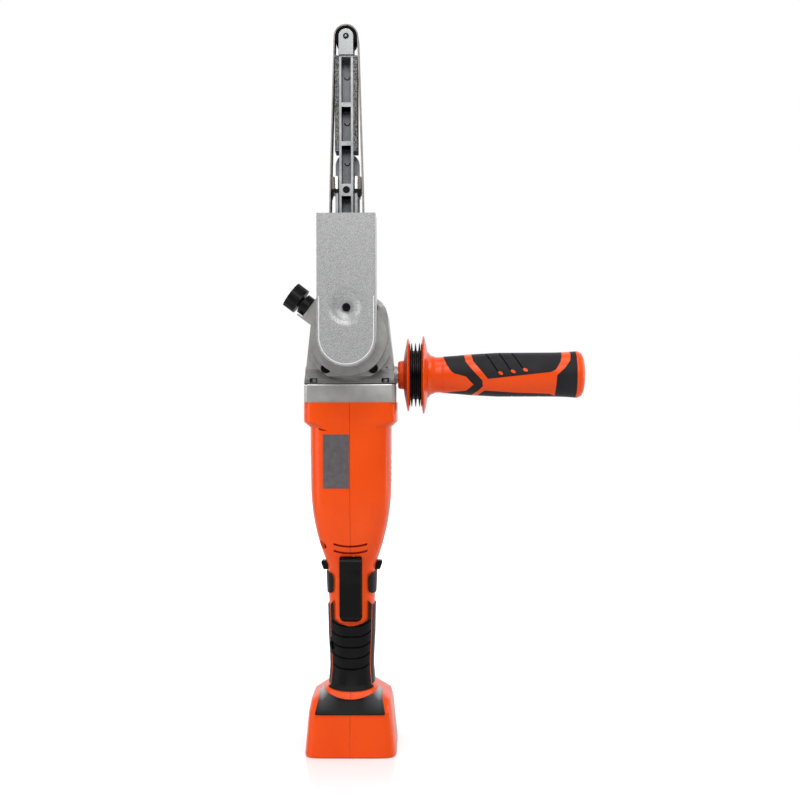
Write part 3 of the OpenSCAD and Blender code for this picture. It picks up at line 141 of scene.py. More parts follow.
# %% Light tent
world = bpy.data.worlds.new("tent")
bpy.context.scene.world = world
world.use_nodes = True
tent = world.node_tree
tent.nodes.clear()
tent_ray = add_node(tent, "LightPath").outputs
tent_axes = add_node(tent, "SeparateXYZ")
tent.links.new(add_node(tent, "TexCoord").outputs["Generated"], tent_axes.inputs[0])
tent_cloth = spread(tent, tent_axes.outputs["Z"], From_Min=-0.3, To_Min=0.26, To_Max=0.75)
back_wall = spread(tent, tent_axes.outputs["Y"], From_Min=0.1, From_Max=0.75, To_Min=0.2, To_Max=1.2)
tent_aside = calculate(tent, "ABSOLUTE", tent_axes.outputs["X"])
side_walls = spread(tent, tent_aside, From_Min=0.55, From_Max=0.95, To_Max=0.45)
tent_level = add_node(tent, "Mix")
tent.links.new(tent_ray["Is Glossy Ray"], tent_level.inputs["Factor"])
tent.links.new(tent_cloth, tent_level.inputs["A"])
tent.links.new(calculate(tent, "ADD", back_wall, side_walls), tent_level.inputs["B"])
tent_fill = add_node(tent, "Background", Color=(0.97, 0.98, 1.0, 1))
tent.links.new(tent_level.outputs["Result"], tent_fill.inputs["Strength"])
tent_white = add_node(tent, "Background", Color=(1, 1, 1, 1), Strength=1.0)
tent_view = add_node(tent, "MixShader")
tent.links.new(tent_ray["Is Camera Ray"], tent_view.inputs["Fac"])
tent.links.new(tent_fill.outputs["Background"], tent_view.inputs[1])
tent.links.new(tent_white.outputs["Background"], tent_view.inputs[2])
tent_end = add_node(tent, "OutputWorld")
tent.links.new(tent_view.outputs["Shader"], tent_end.inputs["Surface"])
print("tent nodes:", len(tent.nodes))

# %% [markdown]
# Five soft lamps model the tool: a tall one on each side draws a long pale line down the
# round body, a broad one in front shows the colours, one above lights the tops, and a
# small one high in front puts a glint on the domes. All of them look at the body. Point
# lamps would make hard shadows and dots, so area lamps are used.

# %% Lamps
LAMP_TARGET = Vector((0, 0, 0.3))
LAMPS = (
    # Name, place in metres, width, height, power in watts
    ("light_left", (-1.1, -0.6, 0.5), 0.6, 1.3, 7),
    ("light_right", (1.15, 0.2, 0.5), 0.3, 1.3, 5),
    ("light_front", (0.3, -1.5, 1.1), 1.2, 0.8, 9.8),
    ("light_top", (0.0, -0.25, 1.5), 1.0, 0.6, 6),
    ("light_high", (0.0, -1.15, 1.5), 0.5, 0.35, 5),
)
for name, place, width, height, power in LAMPS:
    lamp_data = bpy.data.lights.new(name, "AREA")
    lamp_data.shape = "RECTANGLE"
    lamp_data.size = width
    lamp_data.size_y = height
    lamp_data.energy = power
    lamp = bpy.data.objects.new(name, lamp_data)
    bpy.context.scene.collection.objects.link(lamp)
    aim = (LAMP_TARGET - Vector(place)).to_track_quat("-Z", "Y")
    lamp.matrix_world = Matrix.Translation(place) @ aim.to_matrix().to_4x4()
bpy.context.scene.view_settings.view_transform = "Standard"
print("lamps:", len(LAMPS), "power in watts:", sum(lamp[-1] for lamp in LAMPS))

# %% [markdown]
# The floor is a large pale sheet with a slight gloss. It is lit like the tool and glows
# a little for the camera, more and more with the distance from the foot. So it reads
# white up to the horizon and still shows the shadow under the foot. Stronger lamps could
# whiten it as well, but they would bleach the tool.

# %% Floor
bpy.ops.mesh.primitive_plane_add(size=8, location=(0, 2.0, -0.0002))
floor = bpy.context.object
floor.name = "floor"
bpy.ops.object.transform_apply(location=True, rotation=True, scale=True)
floor_paper = bpy.data.materials.new("floor_paper")
floor_paper.use_nodes = True
paper = floor_paper.node_tree
paper_sheet = paper.nodes["Principled BSDF"]
paper_sheet.inputs["Base Color"].default_value = (0.72, 0.72, 0.72, 1)
paper_sheet.inputs["Roughness"].default_value = 0.16
paper_distance = add_node(paper, "VectorMath")
paper_distance.operation = "LENGTH"
paper.links.new(add_node(paper, "TexCoord").outputs["Object"], paper_distance.inputs[0])
paper_level = spread(paper, paper_distance.outputs["Value"], From_Min=0.08, From_Max=0.7, To_Min=0.21)
paper_seen = add_node(paper, "LightPath").outputs["Is Camera Ray"]
paper_glow = add_node(paper, "Emission")
paper.links.new(calculate(paper, "MULTIPLY", paper_seen, paper_level), paper_glow.inputs["Strength"])
paper_sum = add_node(paper, "AddShader")
paper.links.new(paper_sheet.outputs[0], paper_sum.inputs[0])
paper.links.new(paper_glow.outputs[0], paper_sum.inputs[1])
paper.links.new(paper_sum.outputs[0], paper.nodes["Material Output"].inputs["Surface"])
floor.data.materials.append(floor_paper)
bpy.ops.object.select_all(action="DESELECT")
print("floor in metres:", [round(side, 1) for side in floor.dimensions])

# %% [markdown]
# ## Finishes
# Every finish starts from one shader, and each gets a pattern on the object's own
# coordinates. These are in metres, so a grain of half a millimetre has a scale near
# 2000. Colours are given as on a paint chart, from 0 to 255, and turned into the even
# scale of the shader, where a middle grey of 128 is only about 0.22.


# %% A new finish and its colour
def colour(red, green, blue):
    """A colour of 0 to 255 a channel, as the shader wants it."""
    def channel(value):
        value /= 255
        return value / 12.92 if value <= 0.04045 else ((value + 0.055) / 1.055) ** 2.4
    return (channel(red), channel(green), channel(blue), 1)


def new_finish(name, base, roughness, metallic=0.0, specular=0.5, **more):
    """A material with a constant on each input that stays the same all over."""
    finish = bpy.data.materials.new(name)
    finish.use_nodes = True
    shader = finish.node_tree.nodes["Principled BSDF"]
    shader.inputs["Base Color"].default_value = base
    shader.inputs["Roughness"].default_value = roughness
    shader.inputs["Metallic"].default_value = metallic
    shader.inputs["Specular IOR Level"].default_value = specular
    for socket, value in more.items():
        shader.inputs[socket.replace("_", " ")].default_value = value
    return finish


print("middle grey on the shader's scale:", round(colour(128, 128, 128)[0], 2))

# %% [markdown]
# A pattern is noise or small cells. It can colour the finish through a ramp, raise the
# surface as a fine bump, and make the gloss drift, and the bare metals do all three.
# Painted images would do as well, but they have to be unwrapped onto each piece, and
# these patterns don't.


# %% Patterns and colours
def pattern(finish, kind, scale, detail=2.0, stretch=(1, 1, 1)):
    """A pattern of noise or of cells on object coordinates; returns its node."""
    tree = finish.node_tree
    mapping = add_node(tree, "Mapping", Scale=stretch)
    if kind == "noise":
        texture = add_node(tree, "TexNoise", Scale=scale, Detail=detail)
    else:
        texture = add_node(tree, "TexVoronoi", Scale=scale)
    tree.links.new(add_node(tree, "TexCoord").outputs["Object"], mapping.inputs["Vector"])
    tree.links.new(mapping.outputs["Vector"], texture.inputs["Vector"])
    return texture


def ramp(finish, source, stops):
    """Colours along a pattern's value: stops are (place, colour)."""
    node = add_node(finish.node_tree, "ValToRGB")
    ends = node.color_ramp.elements
    ends[0].position, ends[0].color = stops[0]
    ends[1].position, ends[1].color = stops[-1]
    for place, tone in stops[1:-1]:
        ends.new(place).color = tone
    finish.node_tree.links.new(source, node.inputs["Fac"])
    return node.outputs["Color"]


def paint(finish, source):
    """Feeds the shader's base colour."""
    tree = finish.node_tree
    tree.links.new(source, tree.nodes["Principled BSDF"].inputs["Base Color"])


def tint(finish, noise, low, high, start=0.3, end=0.7):
    """Lets the colour drift between two tones along a noise."""
    paint(finish, ramp(finish, noise.outputs["Fac"], [(start, low), (end, high)]))


trial = new_finish("trial", colour(128, 128, 128), 0.5)
trial_grain = pattern(trial, "noise", 1000)
tint(trial, trial_grain, colour(120, 120, 120), colour(136, 136, 136))
print("nodes of a tinted finish:", len(trial.node_tree.nodes))

# %% [markdown]
# A bump only bends the light on a surface and leaves its outline alone, which is all
# that a fine grain needs. The gloss drifts through the roughness, since no real surface
# is equally smooth all over.


# %% Bumps and gloss
def add_bump(finish, source, depth, strength=1.0):
    """Raises the surface by a pattern's value, depth in metres."""
    tree = finish.node_tree
    bump = add_node(tree, "Bump", Strength=strength, Distance=depth)
    tree.links.new(source, bump.inputs["Height"])
    tree.links.new(bump.outputs["Normal"], tree.nodes["Principled BSDF"].inputs["Normal"])


def vary_gloss(finish, source, low, high):
    """Roughness between low and high, along a pattern's value."""
    tree = finish.node_tree
    level = spread(tree, source, To_Min=low, To_Max=high)
    tree.links.new(level, tree.nodes["Principled BSDF"].inputs["Roughness"])


def tell(*finishes):
    """Prints the finishes that a cell has made."""
    print("finishes:", ", ".join(finish.name for finish in finishes))


add_bump(trial, trial_grain.outputs["Fac"], 0.0001)
vary_gloss(trial, trial_grain.outputs["Fac"], 0.4, 0.5)
print("nodes with a bump and a drifting gloss as well:", len(trial.node_tree.nodes))
bpy.data.materials.remove(trial)

# %% [markdown]
# The housing is injection-moulded nylon in a warm orange. Its mould was etched, so the
# surface has a very fine grain that blurs reflections, and its colour drifts a little.
# One even colour would look like a drawing, so a slow noise moves it by a few steps.
# The moulded grooves get a deeper orange as painted shade.

# %% Orange nylon
orange_nylon = new_finish("orange_nylon", colour(232, 71, 2), 0.3, specular=0.24)
nylon_grain = pattern(orange_nylon, "noise", 2600, 3)
nylon_drift = pattern(orange_nylon, "noise", 28, 2)
tint(orange_nylon, nylon_drift, colour(223, 69, 1), colour(229, 74, 3))
add_bump(orange_nylon, nylon_grain.outputs["Fac"], 0.00002, 0.25)
vary_gloss(orange_nylon, nylon_grain.outputs["Fac"], 0.22, 0.34)

groove_shade_orange = new_finish("groove_shade_orange", colour(150, 24, 2), 0.6, specular=0.1)
groove_shade_drift = pattern(groove_shade_orange, "noise", 900, 2)
tint(groove_shade_orange, groove_shade_drift, colour(140, 20, 2), colour(162, 30, 4))
tell(orange_nylon, groove_shade_orange)

# %% [markdown]
# The rubber on the grips is softer and duller. It has a fine grain and a little sheen
# from handling, so it doesn't look like a flat black shape. The rubber on the handle is
# a shade paler. The grooves in both are painted nearly black and without gloss as
# shade, and the same painted shade goes on other faces that lie in the dark.

# %% Grip and handle rubber
grip_rubber = new_finish("grip_rubber", colour(12, 12, 13), 0.45, specular=0.13,
                         Sheen_Weight=0.35, Sheen_Roughness=0.2)
rubber_grain = pattern(grip_rubber, "noise", 3200, 2)
rubber_wear = pattern(grip_rubber, "noise", 45, 3)
tint(grip_rubber, rubber_wear, colour(10, 10, 11), colour(16, 16, 17), start=0.35)
add_bump(grip_rubber, rubber_grain.outputs["Fac"], 0.00006, 0.5)
vary_gloss(grip_rubber, rubber_wear.outputs["Fac"], 0.42, 0.58)

handle_rubber = new_finish("handle_rubber", colour(34, 33, 35), 0.5, specular=0.12)
handle_wear = pattern(handle_rubber, "noise", 45, 3)
handle_grain = pattern(handle_rubber, "noise", 3200, 2)
tint(handle_rubber, handle_wear, colour(30, 29, 31), colour(38, 37, 39), start=0.35)
add_bump(handle_rubber, handle_grain.outputs["Fac"], 0.00006, 0.5)

painted_shade_black = new_finish("painted_shade_black", colour(4, 4, 4), 0.8, specular=0.04)
shade_gloss_noise = pattern(painted_shade_black, "noise", 1200, 2)
vary_gloss(painted_shade_black, shade_gloss_noise.outputs["Fac"], 0.7, 0.9)
tell(grip_rubber, handle_rubber, painted_shade_black)

# %% [markdown]
# The trigger, the knob and the buttons are black plastic with a moulded grain. The
# plastic inside is a dark grey, and the soft rings of the damper have a smooth skin. A
# pattern of colours would hardly show on them, so only their grain and gloss vary.

# %% Dark plastics
black_plastic = new_finish("black_plastic", colour(9, 8, 9), 0.34, specular=0.16)
black_grain = pattern(black_plastic, "noise", 2200, 3)
add_bump(black_plastic, black_grain.outputs["Fac"], 0.00005, 0.4)
vary_gloss(black_plastic, black_grain.outputs["Fac"], 0.28, 0.42)

inner_plastic = new_finish("inner_plastic", colour(44, 44, 48), 0.5)
inner_grain = pattern(inner_plastic, "noise", 1500, 2)
add_bump(inner_plastic, inner_grain.outputs["Fac"], 0.00005, 0.4)

damper_rubber = new_finish("damper_rubber", colour(4, 3, 3), 0.3, specular=0.12)
damper_bloom = pattern(damper_rubber, "noise", 500, 3)
vary_gloss(damper_rubber, damper_bloom.outputs["Fac"], 0.24, 0.36)
tell(black_plastic, inner_plastic, damper_rubber)

# %% [markdown]
# The apron on the foot is polished black plastic. Its shoulders get a painted highlight:
# a pale glare that grows towards the top and towards both sides, and leaves the middle
# dark. One ramp along the width and a rise along the height are multiplied, and the
# result picks the colour.

# %% Polished apron
APRON_MIDDLE = 0.009
APRON_SHOULDER = 0.031
apron_gloss = new_finish("apron_gloss", colour(10, 9, 11), 0.26, specular=0.12)
apron_low, apron_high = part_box("foot_aprons")
apron_tree = apron_gloss.node_tree
apron_axes = add_node(apron_tree, "SeparateXYZ")
apron_tree.links.new(add_node(apron_tree, "TexCoord").outputs["Object"], apron_axes.inputs[0])
apron_aside = calculate(apron_tree, "ABSOLUTE", apron_axes.outputs["X"])
apron_side = spread(apron_tree, apron_aside, From_Min=APRON_MIDDLE, From_Max=APRON_SHOULDER)
apron_band = ramp(apron_gloss, apron_side,
                  [(0.0, (0, 0, 0, 1)), (0.6, (1, 1, 1, 1)), (1.0, (0.8, 0.8, 0.8, 1))])
apron_rise = spread(apron_tree, apron_axes.outputs["Z"],
                    From_Min=apron_low.z + 1 * MM, From_Max=apron_high.z)
# The pale glare on the shoulders is a painted highlight.
apron_glare = calculate(apron_tree, "MULTIPLY", apron_band, apron_rise)
paint(apron_gloss, ramp(apron_gloss, apron_glare,
                        [(0.0, colour(5, 5, 6)), (0.5, colour(62, 62, 64)), (1.0, colour(178, 178, 180))]))
apron_drift = pattern(apron_gloss, "noise", 60, 2)
vary_gloss(apron_gloss, apron_drift.outputs["Fac"], 0.2, 0.34)
print("apron height in mm:", round((apron_high.z - apron_low.z) / MM, 1))

# %% [markdown]
# The belt cover is a pressing with a hammered silver paint. Its flakes are small
# patches of lighter and darker grey, a few tenths of a millimetre wide, under a thin
# clear coat. Cells give the flakes, noise gives the clouds between them, and the two are
# mixed. A fine line on the cover's rim gets a painted highlight, almost white.


# %% Speckled silver paint
def mixed(finish, share, first, second):
    """Mixes two colours, with this share of the second; returns the mix."""
    tree = finish.node_tree
    mix = add_node(tree, "Mix")
    mix.data_type = "RGBA"
    mix.inputs["Factor"].default_value = share
    tree.links.new(first, mix.inputs["A"])
    tree.links.new(second, mix.inputs["B"])
    return mix.outputs["Result"]


silver_paint = new_finish("silver_paint", colour(150, 150, 151), 0.42, 0.35,
                          Coat_Weight=0.45, Coat_Roughness=0.24)
flakes = pattern(silver_paint, "cells", 2300)
flake_clouds = pattern(silver_paint, "noise", 1500, 4)
flake_tones = ramp(silver_paint, flakes.outputs["Color"],
                   [(0.2, colour(120, 120, 120)), (0.8, colour(190, 190, 190))])
cloud_tones = ramp(silver_paint, flake_clouds.outputs["Fac"],
                   [(0.35, colour(118, 118, 118)), (0.65, colour(186, 186, 186))])
paint(silver_paint, mixed(silver_paint, 0.5, flake_tones, cloud_tones))
add_bump(silver_paint, flake_clouds.outputs["Fac"], 0.00008, 0.5)

painted_rim_highlight = new_finish("painted_rim_highlight", colour(226, 226, 226), 0.3, 0.2)
rim_highlight_noise = pattern(painted_rim_highlight, "noise", 700, 3)
tint(painted_rim_highlight, rim_highlight_noise, colour(206, 206, 206), colour(240, 240, 240), end=0.6)
tell(silver_paint, painted_rim_highlight)

# %% [markdown]
# The gear head is die-cast aluminium, tumbled and left bare: a grey, soft metal with a
# faint cloudiness. Its lower front gets a darker grey as painted shadow, and the arm bar
# is a duller casting. The flange's chamfer gets a painted highlight, nearly white. One
# function makes all of these, so they differ in tone and gloss and still belong together.


# %% Cast metals
def cast_metal(name, low, high, roughness):
    """A bare casting whose grey drifts between two tones, with a rough skin."""
    finish = new_finish(name, low, roughness, 0.5)
    clouds = pattern(finish, "noise", 120, 4)
    skin = pattern(finish, "noise", 1400, 4)
    tint(finish, clouds, low, high)
    add_bump(finish, skin.outputs["Fac"], 0.00012, 0.5)
    vary_gloss(finish, clouds.outputs["Fac"], roughness - 0.06, roughness + 0.1)
    return finish


head_alloy = cast_metal("head_alloy", colour(146, 145, 143), colour(166, 165, 163), 0.42)
shadowed_alloy = cast_metal("shadowed_alloy", colour(104, 103, 101), colour(122, 121, 119), 0.42)
flange_alloy = cast_metal("flange_alloy", colour(150, 149, 147), colour(166, 165, 163), 0.42)
bar_alloy = cast_metal("bar_alloy", colour(104, 105, 108), colour(130, 131, 134), 0.34)
rail_alloy = cast_metal("rail_alloy", colour(136, 138, 140), colour(170, 171, 173), 0.3)
guide_alloy = cast_metal("guide_alloy", colour(146, 148, 149), colour(172, 174, 175), 0.36)
edge_highlight = cast_metal("edge_highlight", colour(214, 214, 213), colour(240, 240, 239), 0.3)
can_steel = cast_metal("can_steel", colour(140, 143, 148), colour(165, 168, 172), 0.3)
tell(head_alloy, shadowed_alloy, flange_alloy, bar_alloy, rail_alloy, guide_alloy, edge_highlight, can_steel)

# %% [markdown]
# Shafts, screws and bearings are turned or ground, which leaves fine parallel lines.
# The noise is stretched along one axis for that, and left even where a part is blacked
# or blasted. Copper wire gets its lines the other way, across the windings.


# %% Turned metals
def turned_metal(name, low, high, roughness, stretch=(1, 1, 1)):
    """A polished metal with fine tool lines, drawn out where stretch is small."""
    finish = new_finish(name, low, roughness, 1.0)
    lines = pattern(finish, "noise", 900, 3, stretch)
    tint(finish, lines, low, high)
    vary_gloss(finish, lines.outputs["Fac"], roughness - 0.08, roughness + 0.1)
    add_bump(finish, lines.outputs["Fac"], 0.00003, 0.3)
    return finish


ground_steel = turned_metal("ground_steel", colour(150, 153, 156), colour(188, 191, 194), 0.28,
                            stretch=(1, 0.08, 1))
bright_steel = turned_metal("bright_steel", colour(214, 217, 218), colour(236, 238, 239), 0.2,
                            stretch=(1, 1, 0.1))
copper_wire = turned_metal("copper_wire", colour(150, 78, 40), colour(214, 130, 76), 0.35,
                           stretch=(1, 1, 6))
fork_steel = turned_metal("fork_steel", colour(142, 144, 144), colour(160, 162, 162), 0.4)
black_steel = turned_metal("black_steel", colour(22, 22, 25), colour(40, 40, 43), 0.34)
magnet_iron = turned_metal("magnet_iron", colour(66, 66, 72), colour(84, 84, 90), 0.5)
tell(ground_steel, bright_steel, copper_wire, fork_steel, black_steel, magnet_iron)

# %% [markdown]
# The sanding belt is cloth with worn grey-brown grains on its outer face. Cells stand
# for the grains, and a slower noise for the places that have worn more. The pads behind
# the belt are graphite cloth, and the shoes beside it wear a strip of felt.

# %% Belt and pads
belt_grit = new_finish("belt_grit", colour(168, 158, 152), 0.85)
grit = pattern(belt_grit, "cells", 2600)
grit_shade = pattern(belt_grit, "noise", 240, 4)
grain_tones = ramp(belt_grit, grit.outputs["Color"],
                   [(0.1, colour(96, 90, 86)), (0.9, colour(186, 180, 176))])
worn_tones = ramp(belt_grit, grit_shade.outputs["Fac"],
                  [(0.3, colour(114, 108, 104)), (0.7, colour(162, 156, 152))])
paint(belt_grit, mixed(belt_grit, 0.45, grain_tones, worn_tones))
add_bump(belt_grit, grit.outputs["Distance"], 0.00025, 0.8)

graphite_cloth = new_finish("graphite_cloth", colour(74, 72, 70), 0.62)
cloth_grain = pattern(graphite_cloth, "noise", 1100, 5)
tint(graphite_cloth, cloth_grain, colour(26, 26, 26), colour(128, 126, 124), 0.42, 0.64)
add_bump(graphite_cloth, cloth_grain.outputs["Fac"], 0.0001, 0.6)

brown_felt = new_finish("brown_felt", colour(84, 64, 56), 0.9)
felt_fibres = pattern(brown_felt, "noise", 2500, 5, (1, 0.4, 1))
tint(brown_felt, felt_fibres, colour(84, 77, 72), colour(136, 127, 118))
add_bump(brown_felt, felt_fibres.outputs["Fac"], 0.0002, 0.8)
tell(belt_grit, graphite_cloth, brown_felt)

# %% [markdown]
# A few small finishes are left: the tyres of the drive wheel and the nose roller, the
# blank film of the rating plate, the green circuit board with its paler tracks, and the
# carbon of the motor's brushes. Each covers only a small area, so one pattern is enough.

# %% Small finishes
tyre_rubber = new_finish("tyre_rubber", colour(8, 7, 7), 0.6, specular=0.1)
tyre_marks = pattern(tyre_rubber, "noise", 900, 3, (1, 0.1, 1))
add_bump(tyre_rubber, tyre_marks.outputs["Fac"], 0.00008, 0.6)

label_film = new_finish("label_film", colour(88, 82, 84), 0.3)
film_drift = pattern(label_film, "noise", 300, 2)
tint(label_film, film_drift, colour(80, 74, 76), colour(92, 87, 89))

board_green = new_finish("board_green", colour(32, 104, 60), 0.4)
board_tracks = pattern(board_green, "noise", 400, 1, (1, 0.2, 1))
tint(board_green, board_tracks, colour(26, 92, 52), colour(44, 122, 74), 0.45, 0.55)

carbon = new_finish("carbon", colour(52, 52, 54), 0.7)
carbon_grain = pattern(carbon, "noise", 1200, 3)
add_bump(carbon, carbon_grain.outputs["Fac"], 0.0001, 0.5)
tell(tyre_rubber, label_film, board_green, carbon)

# %% [markdown]
# Each material slot of the CAD record gets one finish. The CAD nodes take theirs from
# this table, and so do the new pieces that replace them. A few nodes share a slot with
# others but look different on the real tool, so a second table names those one by one.

# %% Finish of each slot
FINISHES = {
    "orange_plastic": orange_nylon, "grip_rubber": grip_rubber, "apron_plastic": apron_gloss,
    "label_film": label_film, "cast_silver": silver_paint, "cast_alloy": head_alloy,
    "dark_alloy": flange_alloy, "steel": ground_steel, "bearing_steel": bright_steel,
    "can_steel": can_steel, "black_steel": black_steel, "magnet": magnet_iron,
    "dark_plastic": inner_plastic, "black_plastic": black_plastic, "copper": copper_wire,
    "carbon": carbon, "tyre_rubber": tyre_rubber, "abrasive": belt_grit,
    "brown_felt": brown_felt, "graphite": graphite_cloth, "bright_steel": bright_steel,
    "board_green": board_green,
}
OWN_FINISHES = {
    "arm_bar": bar_alloy, "arm_guide": guide_alloy, "nose_fork": fork_steel,
    "nose_axle": black_steel, "nose_roller": tyre_rubber, "handle_damper": damper_rubber,
    "handle_rubber": handle_rubber,
}
SLOT_OF = {part["node"]: part["material_slot"] for part in frame["record"]["subparts"]}
BODY_OF = {node: body for body, members in frame["record"]["behaviour"]["bodies"].items()
           for node in members}
for node, solid in frame["nodes"].items():
    solid.data.materials.clear()
    solid.data.materials.append(OWN_FINISHES.get(node, FINISHES[SLOT_OF[node]]))
print("slots:", len(FINISHES), "nodes with a finish of their own:", len(OWN_FINISHES))

# %% [markdown]
# ## Softened edges
# A cast or moulded piece never has a knife edge. The CAD nodes themselves stay as they
# are, so a copy of the solid is worked on. Its loose triangles are merged first and its
# flat faces are joined, because a bevel needs whole faces with clean edges between them.

# %% Copies of solids
FLAT_ANGLE = 0.6
MERGE_DISTANCE = 0.01 * MM


def only(piece):
    """Selects one piece and makes it the active one."""
    bpy.ops.object.select_all(action="DESELECT")
    piece.select_set(True)
    bpy.context.view_layer.objects.active = piece


def merged_copy(node, name):
    """A copy of a node's mesh with its triangles merged into flat faces."""
    piece = bpy.data.objects.new(name, frame["nodes"][node].data.copy())
    bpy.context.scene.collection.objects.link(piece)
    only(piece)
    bpy.ops.object.mode_set(mode="EDIT")
    bpy.ops.mesh.select_all(action="SELECT")
    bpy.ops.mesh.customdata_custom_splitnormals_clear()
    bpy.ops.mesh.remove_doubles(threshold=MERGE_DISTANCE)
    bpy.ops.mesh.dissolve_limited(angle_limit=radians(FLAT_ANGLE))
    bpy.ops.object.mode_set(mode="OBJECT")
    return piece


print("loose triangles in the trigger's solid:", len(frame["nodes"]["trigger"].data.polygons))

# %% [markdown]
# The sharp edges are then bevelled, so they catch a thin line of light. The fillets could
# be in the CAD model too, but a modifier does all of them in one go. After a bevel the
# large flat faces would look slightly pillowed, and weighted normals keep them flat.

# %% Softened edges
SHARP_ANGLE = 32


def even_shading(piece, smooth=SHARP_ANGLE):
    """Shades rounded parts smooth, and lets large flat faces keep their own direction."""
    only(piece)
    bpy.ops.object.shade_smooth_by_angle(angle=radians(smooth))
    piece.modifiers.new("flats", "WEIGHTED_NORMAL").keep_sharp = True
    bpy.ops.object.modifier_apply(modifier="flats")


def soften(piece, width, angle=SHARP_ANGLE, smooth=SHARP_ANGLE):
    """Bevels the sharp edges of a piece by a width in mm, and shades the rest smooth."""
    only(piece)
    bevel = piece.modifiers.new("edges", "BEVEL")
    bevel.width = width * MM
    bevel.segments = 2
    bevel.limit_method = "ANGLE"
    bevel.angle_limit = radians(angle)
    bpy.ops.object.modifier_apply(modifier="edges")
    even_shading(piece, smooth)


print("edges are softened where they turn by more than", SHARP_ANGLE, "degrees")

# %% [markdown]
# A new piece moves with the body of the CAD node that it stands for, and takes that
# node's finish, and the node is hidden. It can also give some of its faces another finish.


# %% Helpers for bodies, slots and finishes
def stand_for(piece, node):
    """Gives a piece the body of a node, and hides the node."""
    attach(piece, BODY_OF[node])
    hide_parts(node)


def finished(piece, node):
    """Gives a piece the body and finish of the node that it replaces."""
    piece.data.materials.clear()
    piece.data.materials.append(frame["nodes"][node].data.materials[0])
    stand_for(piece, node)
    return piece


def give(piece, finish, test):
    """Gives the faces that pass a test a finish of their own; returns how many."""
    piece.data.materials.append(finish)
    chosen = [face for face in piece.data.polygons if test(face)]
    for face in chosen:
        face.material_index = len(piece.data.materials) - 1
    return len(chosen)


print("bodies:", ", ".join(sorted(set(BODY_OF.values()))))

# %% [markdown]
# ## Housing halves
# A few faces of each half are moved, and for that they have to be marked. The helper
# goes through edit mode once to clear all marks, marks the faces whose corners all pass a
# test, and comes back to edit mode, ready for the next operator. Marking by hand would
# be quicker once, but a test finds the same faces again when the model changes.

# %% Marking faces
HAIR = 0.02 * MM


def mark(piece, test):
    """Enters edit mode with the faces marked whose corners all pass the test."""
    only(piece)
    bpy.ops.object.mode_set(mode="EDIT")
    bpy.ops.mesh.select_mode(type="FACE")
    bpy.ops.mesh.select_all(action="DESELECT")
    bpy.ops.object.mode_set(mode="OBJECT")
    corners = piece.data.vertices
    marked = 0
    for face in piece.data.polygons:
        face.select = all(test(corners[k].co) for k in face.vertices)
        marked += face.select
    bpy.ops.object.mode_set(mode="EDIT")
    return marked


def anywhere(corner):
    return True


def on_seam(corner):
    return abs(corner.x) < HAIR


seam_corners = sum(on_seam(corner.co) for corner in frame["nodes"]["housing_left"].data.vertices)
print("loose corners on the left half's seam:", seam_corners)

# %% [markdown]
# The halves meet in a fine line down the middle of the front and the back, so the seam
# faces of both copies stand back by a tenth of a millimetre. A line could be painted on
# instead, but a real gap takes its shade from the light in every view. There are two
# arched grooves above the trigger and a slanted one under the collar. Their floors and
# their level walls lie in their own shade, so they get the deeper orange.

# %% Housing halves
SEAM = 0.1 * MM
ARCHED_GROOVES = (2.5 * MM, 13.5 * MM)
ARCHED_REACH = 14 * MM
SLANTED_GROOVE = (18 * MM, 24 * MM)
SLANTED_REACH = 31 * MM
GROOVE_FLOOR = 60 * MM * MM
body_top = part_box("housing_left")[1].z
trigger_low, trigger_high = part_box("trigger")


def in_groove(face):
    """Picks the flat floors and the level walls of the grooves in the front."""
    across = abs(face.center.x)
    above = face.center.z - trigger_high.z
    below = body_top - face.center.z
    arched = ARCHED_GROOVES[0] < above < ARCHED_GROOVES[1] and across < ARCHED_REACH
    slanted = SLANTED_GROOVE[0] < below < SLANTED_GROOVE[1] and across < SLANTED_REACH
    floor_face = face.normal.y < -0.9999 and face.area < GROOVE_FLOOR
    level_wall = abs(face.normal.z) > 0.8
    return (arched or slanted) and face.center.y < 0 and (floor_face or level_wall)


for side, node in ((-1, "housing_left"), (1, "housing_right")):
    half = merged_copy(node, node + "_soft")
    mark(half, on_seam)
    bpy.ops.transform.translate(value=(side * SEAM, 0, 0))
    bpy.ops.object.mode_set(mode="OBJECT")
    finished(half, node)
    shaded = give(half, groove_shade_orange, in_groove)
    soften(half, 0.3)
    print(node, "groove faces:", shaded, "all faces:", len(half.data.polygons))

# %% [markdown]
# ## Grip
# The front rubber carries smile-shaped ribs, one every 8.7 mm. A plane that leans back
# cuts the round front in just that curve. A bump would be quicker, but it would stay flat
# at the grip's outline, so the ribs are cut. An orange piping fills the gap between the
# front rubber and the rubber round the back, and grows wider towards the foot. First
# come the places: the palm's height under the trigger, and two tests that tell the front
# rubber and the gap at its edge from the rest by how far round a corner lies.

# %% Where the grip's rubber and piping lie
PALM_DROP = 4.1 * MM
FRONT_REACH = 20 * MM
FRONT_SLOPE = 0.88
FLARE_HEIGHT = 12 * MM
FLARE_SLOPE = 0.1
PIPING_SLOPE = 1.06
SCREW_DROP = 17 * MM
SCREW_GAP = 6.4 * MM
palm_z = trigger_low.z - PALM_DROP
screw_hole_z = palm_z - SCREW_DROP
grip_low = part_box("grip_left")[0]


def on_front(corner):
    """The front rubber: the part that faces more to the front than to the side."""
    flare = max(0, grip_low.z + FLARE_HEIGHT - corner.z) / FLARE_HEIGHT
    slope = FRONT_SLOPE + FLARE_SLOPE * min(1, flare)
    return corner.y < 0 and abs(corner.y) > slope * abs(corner.x) and corner.z < palm_z + FRONT_REACH


def on_gap(corner):
    """The narrow strip at the side edge of the front rubber, less the screw's place."""
    at_screw = abs(corner.z - screw_hole_z) < SCREW_GAP and corner.x < 0
    return on_front(corner) and abs(corner.y) < PIPING_SLOPE * abs(corner.x) and not at_screw


print("palm height in mm:", round(palm_z / MM, 1), "screw hole:", round(screw_hole_z / MM, 1))

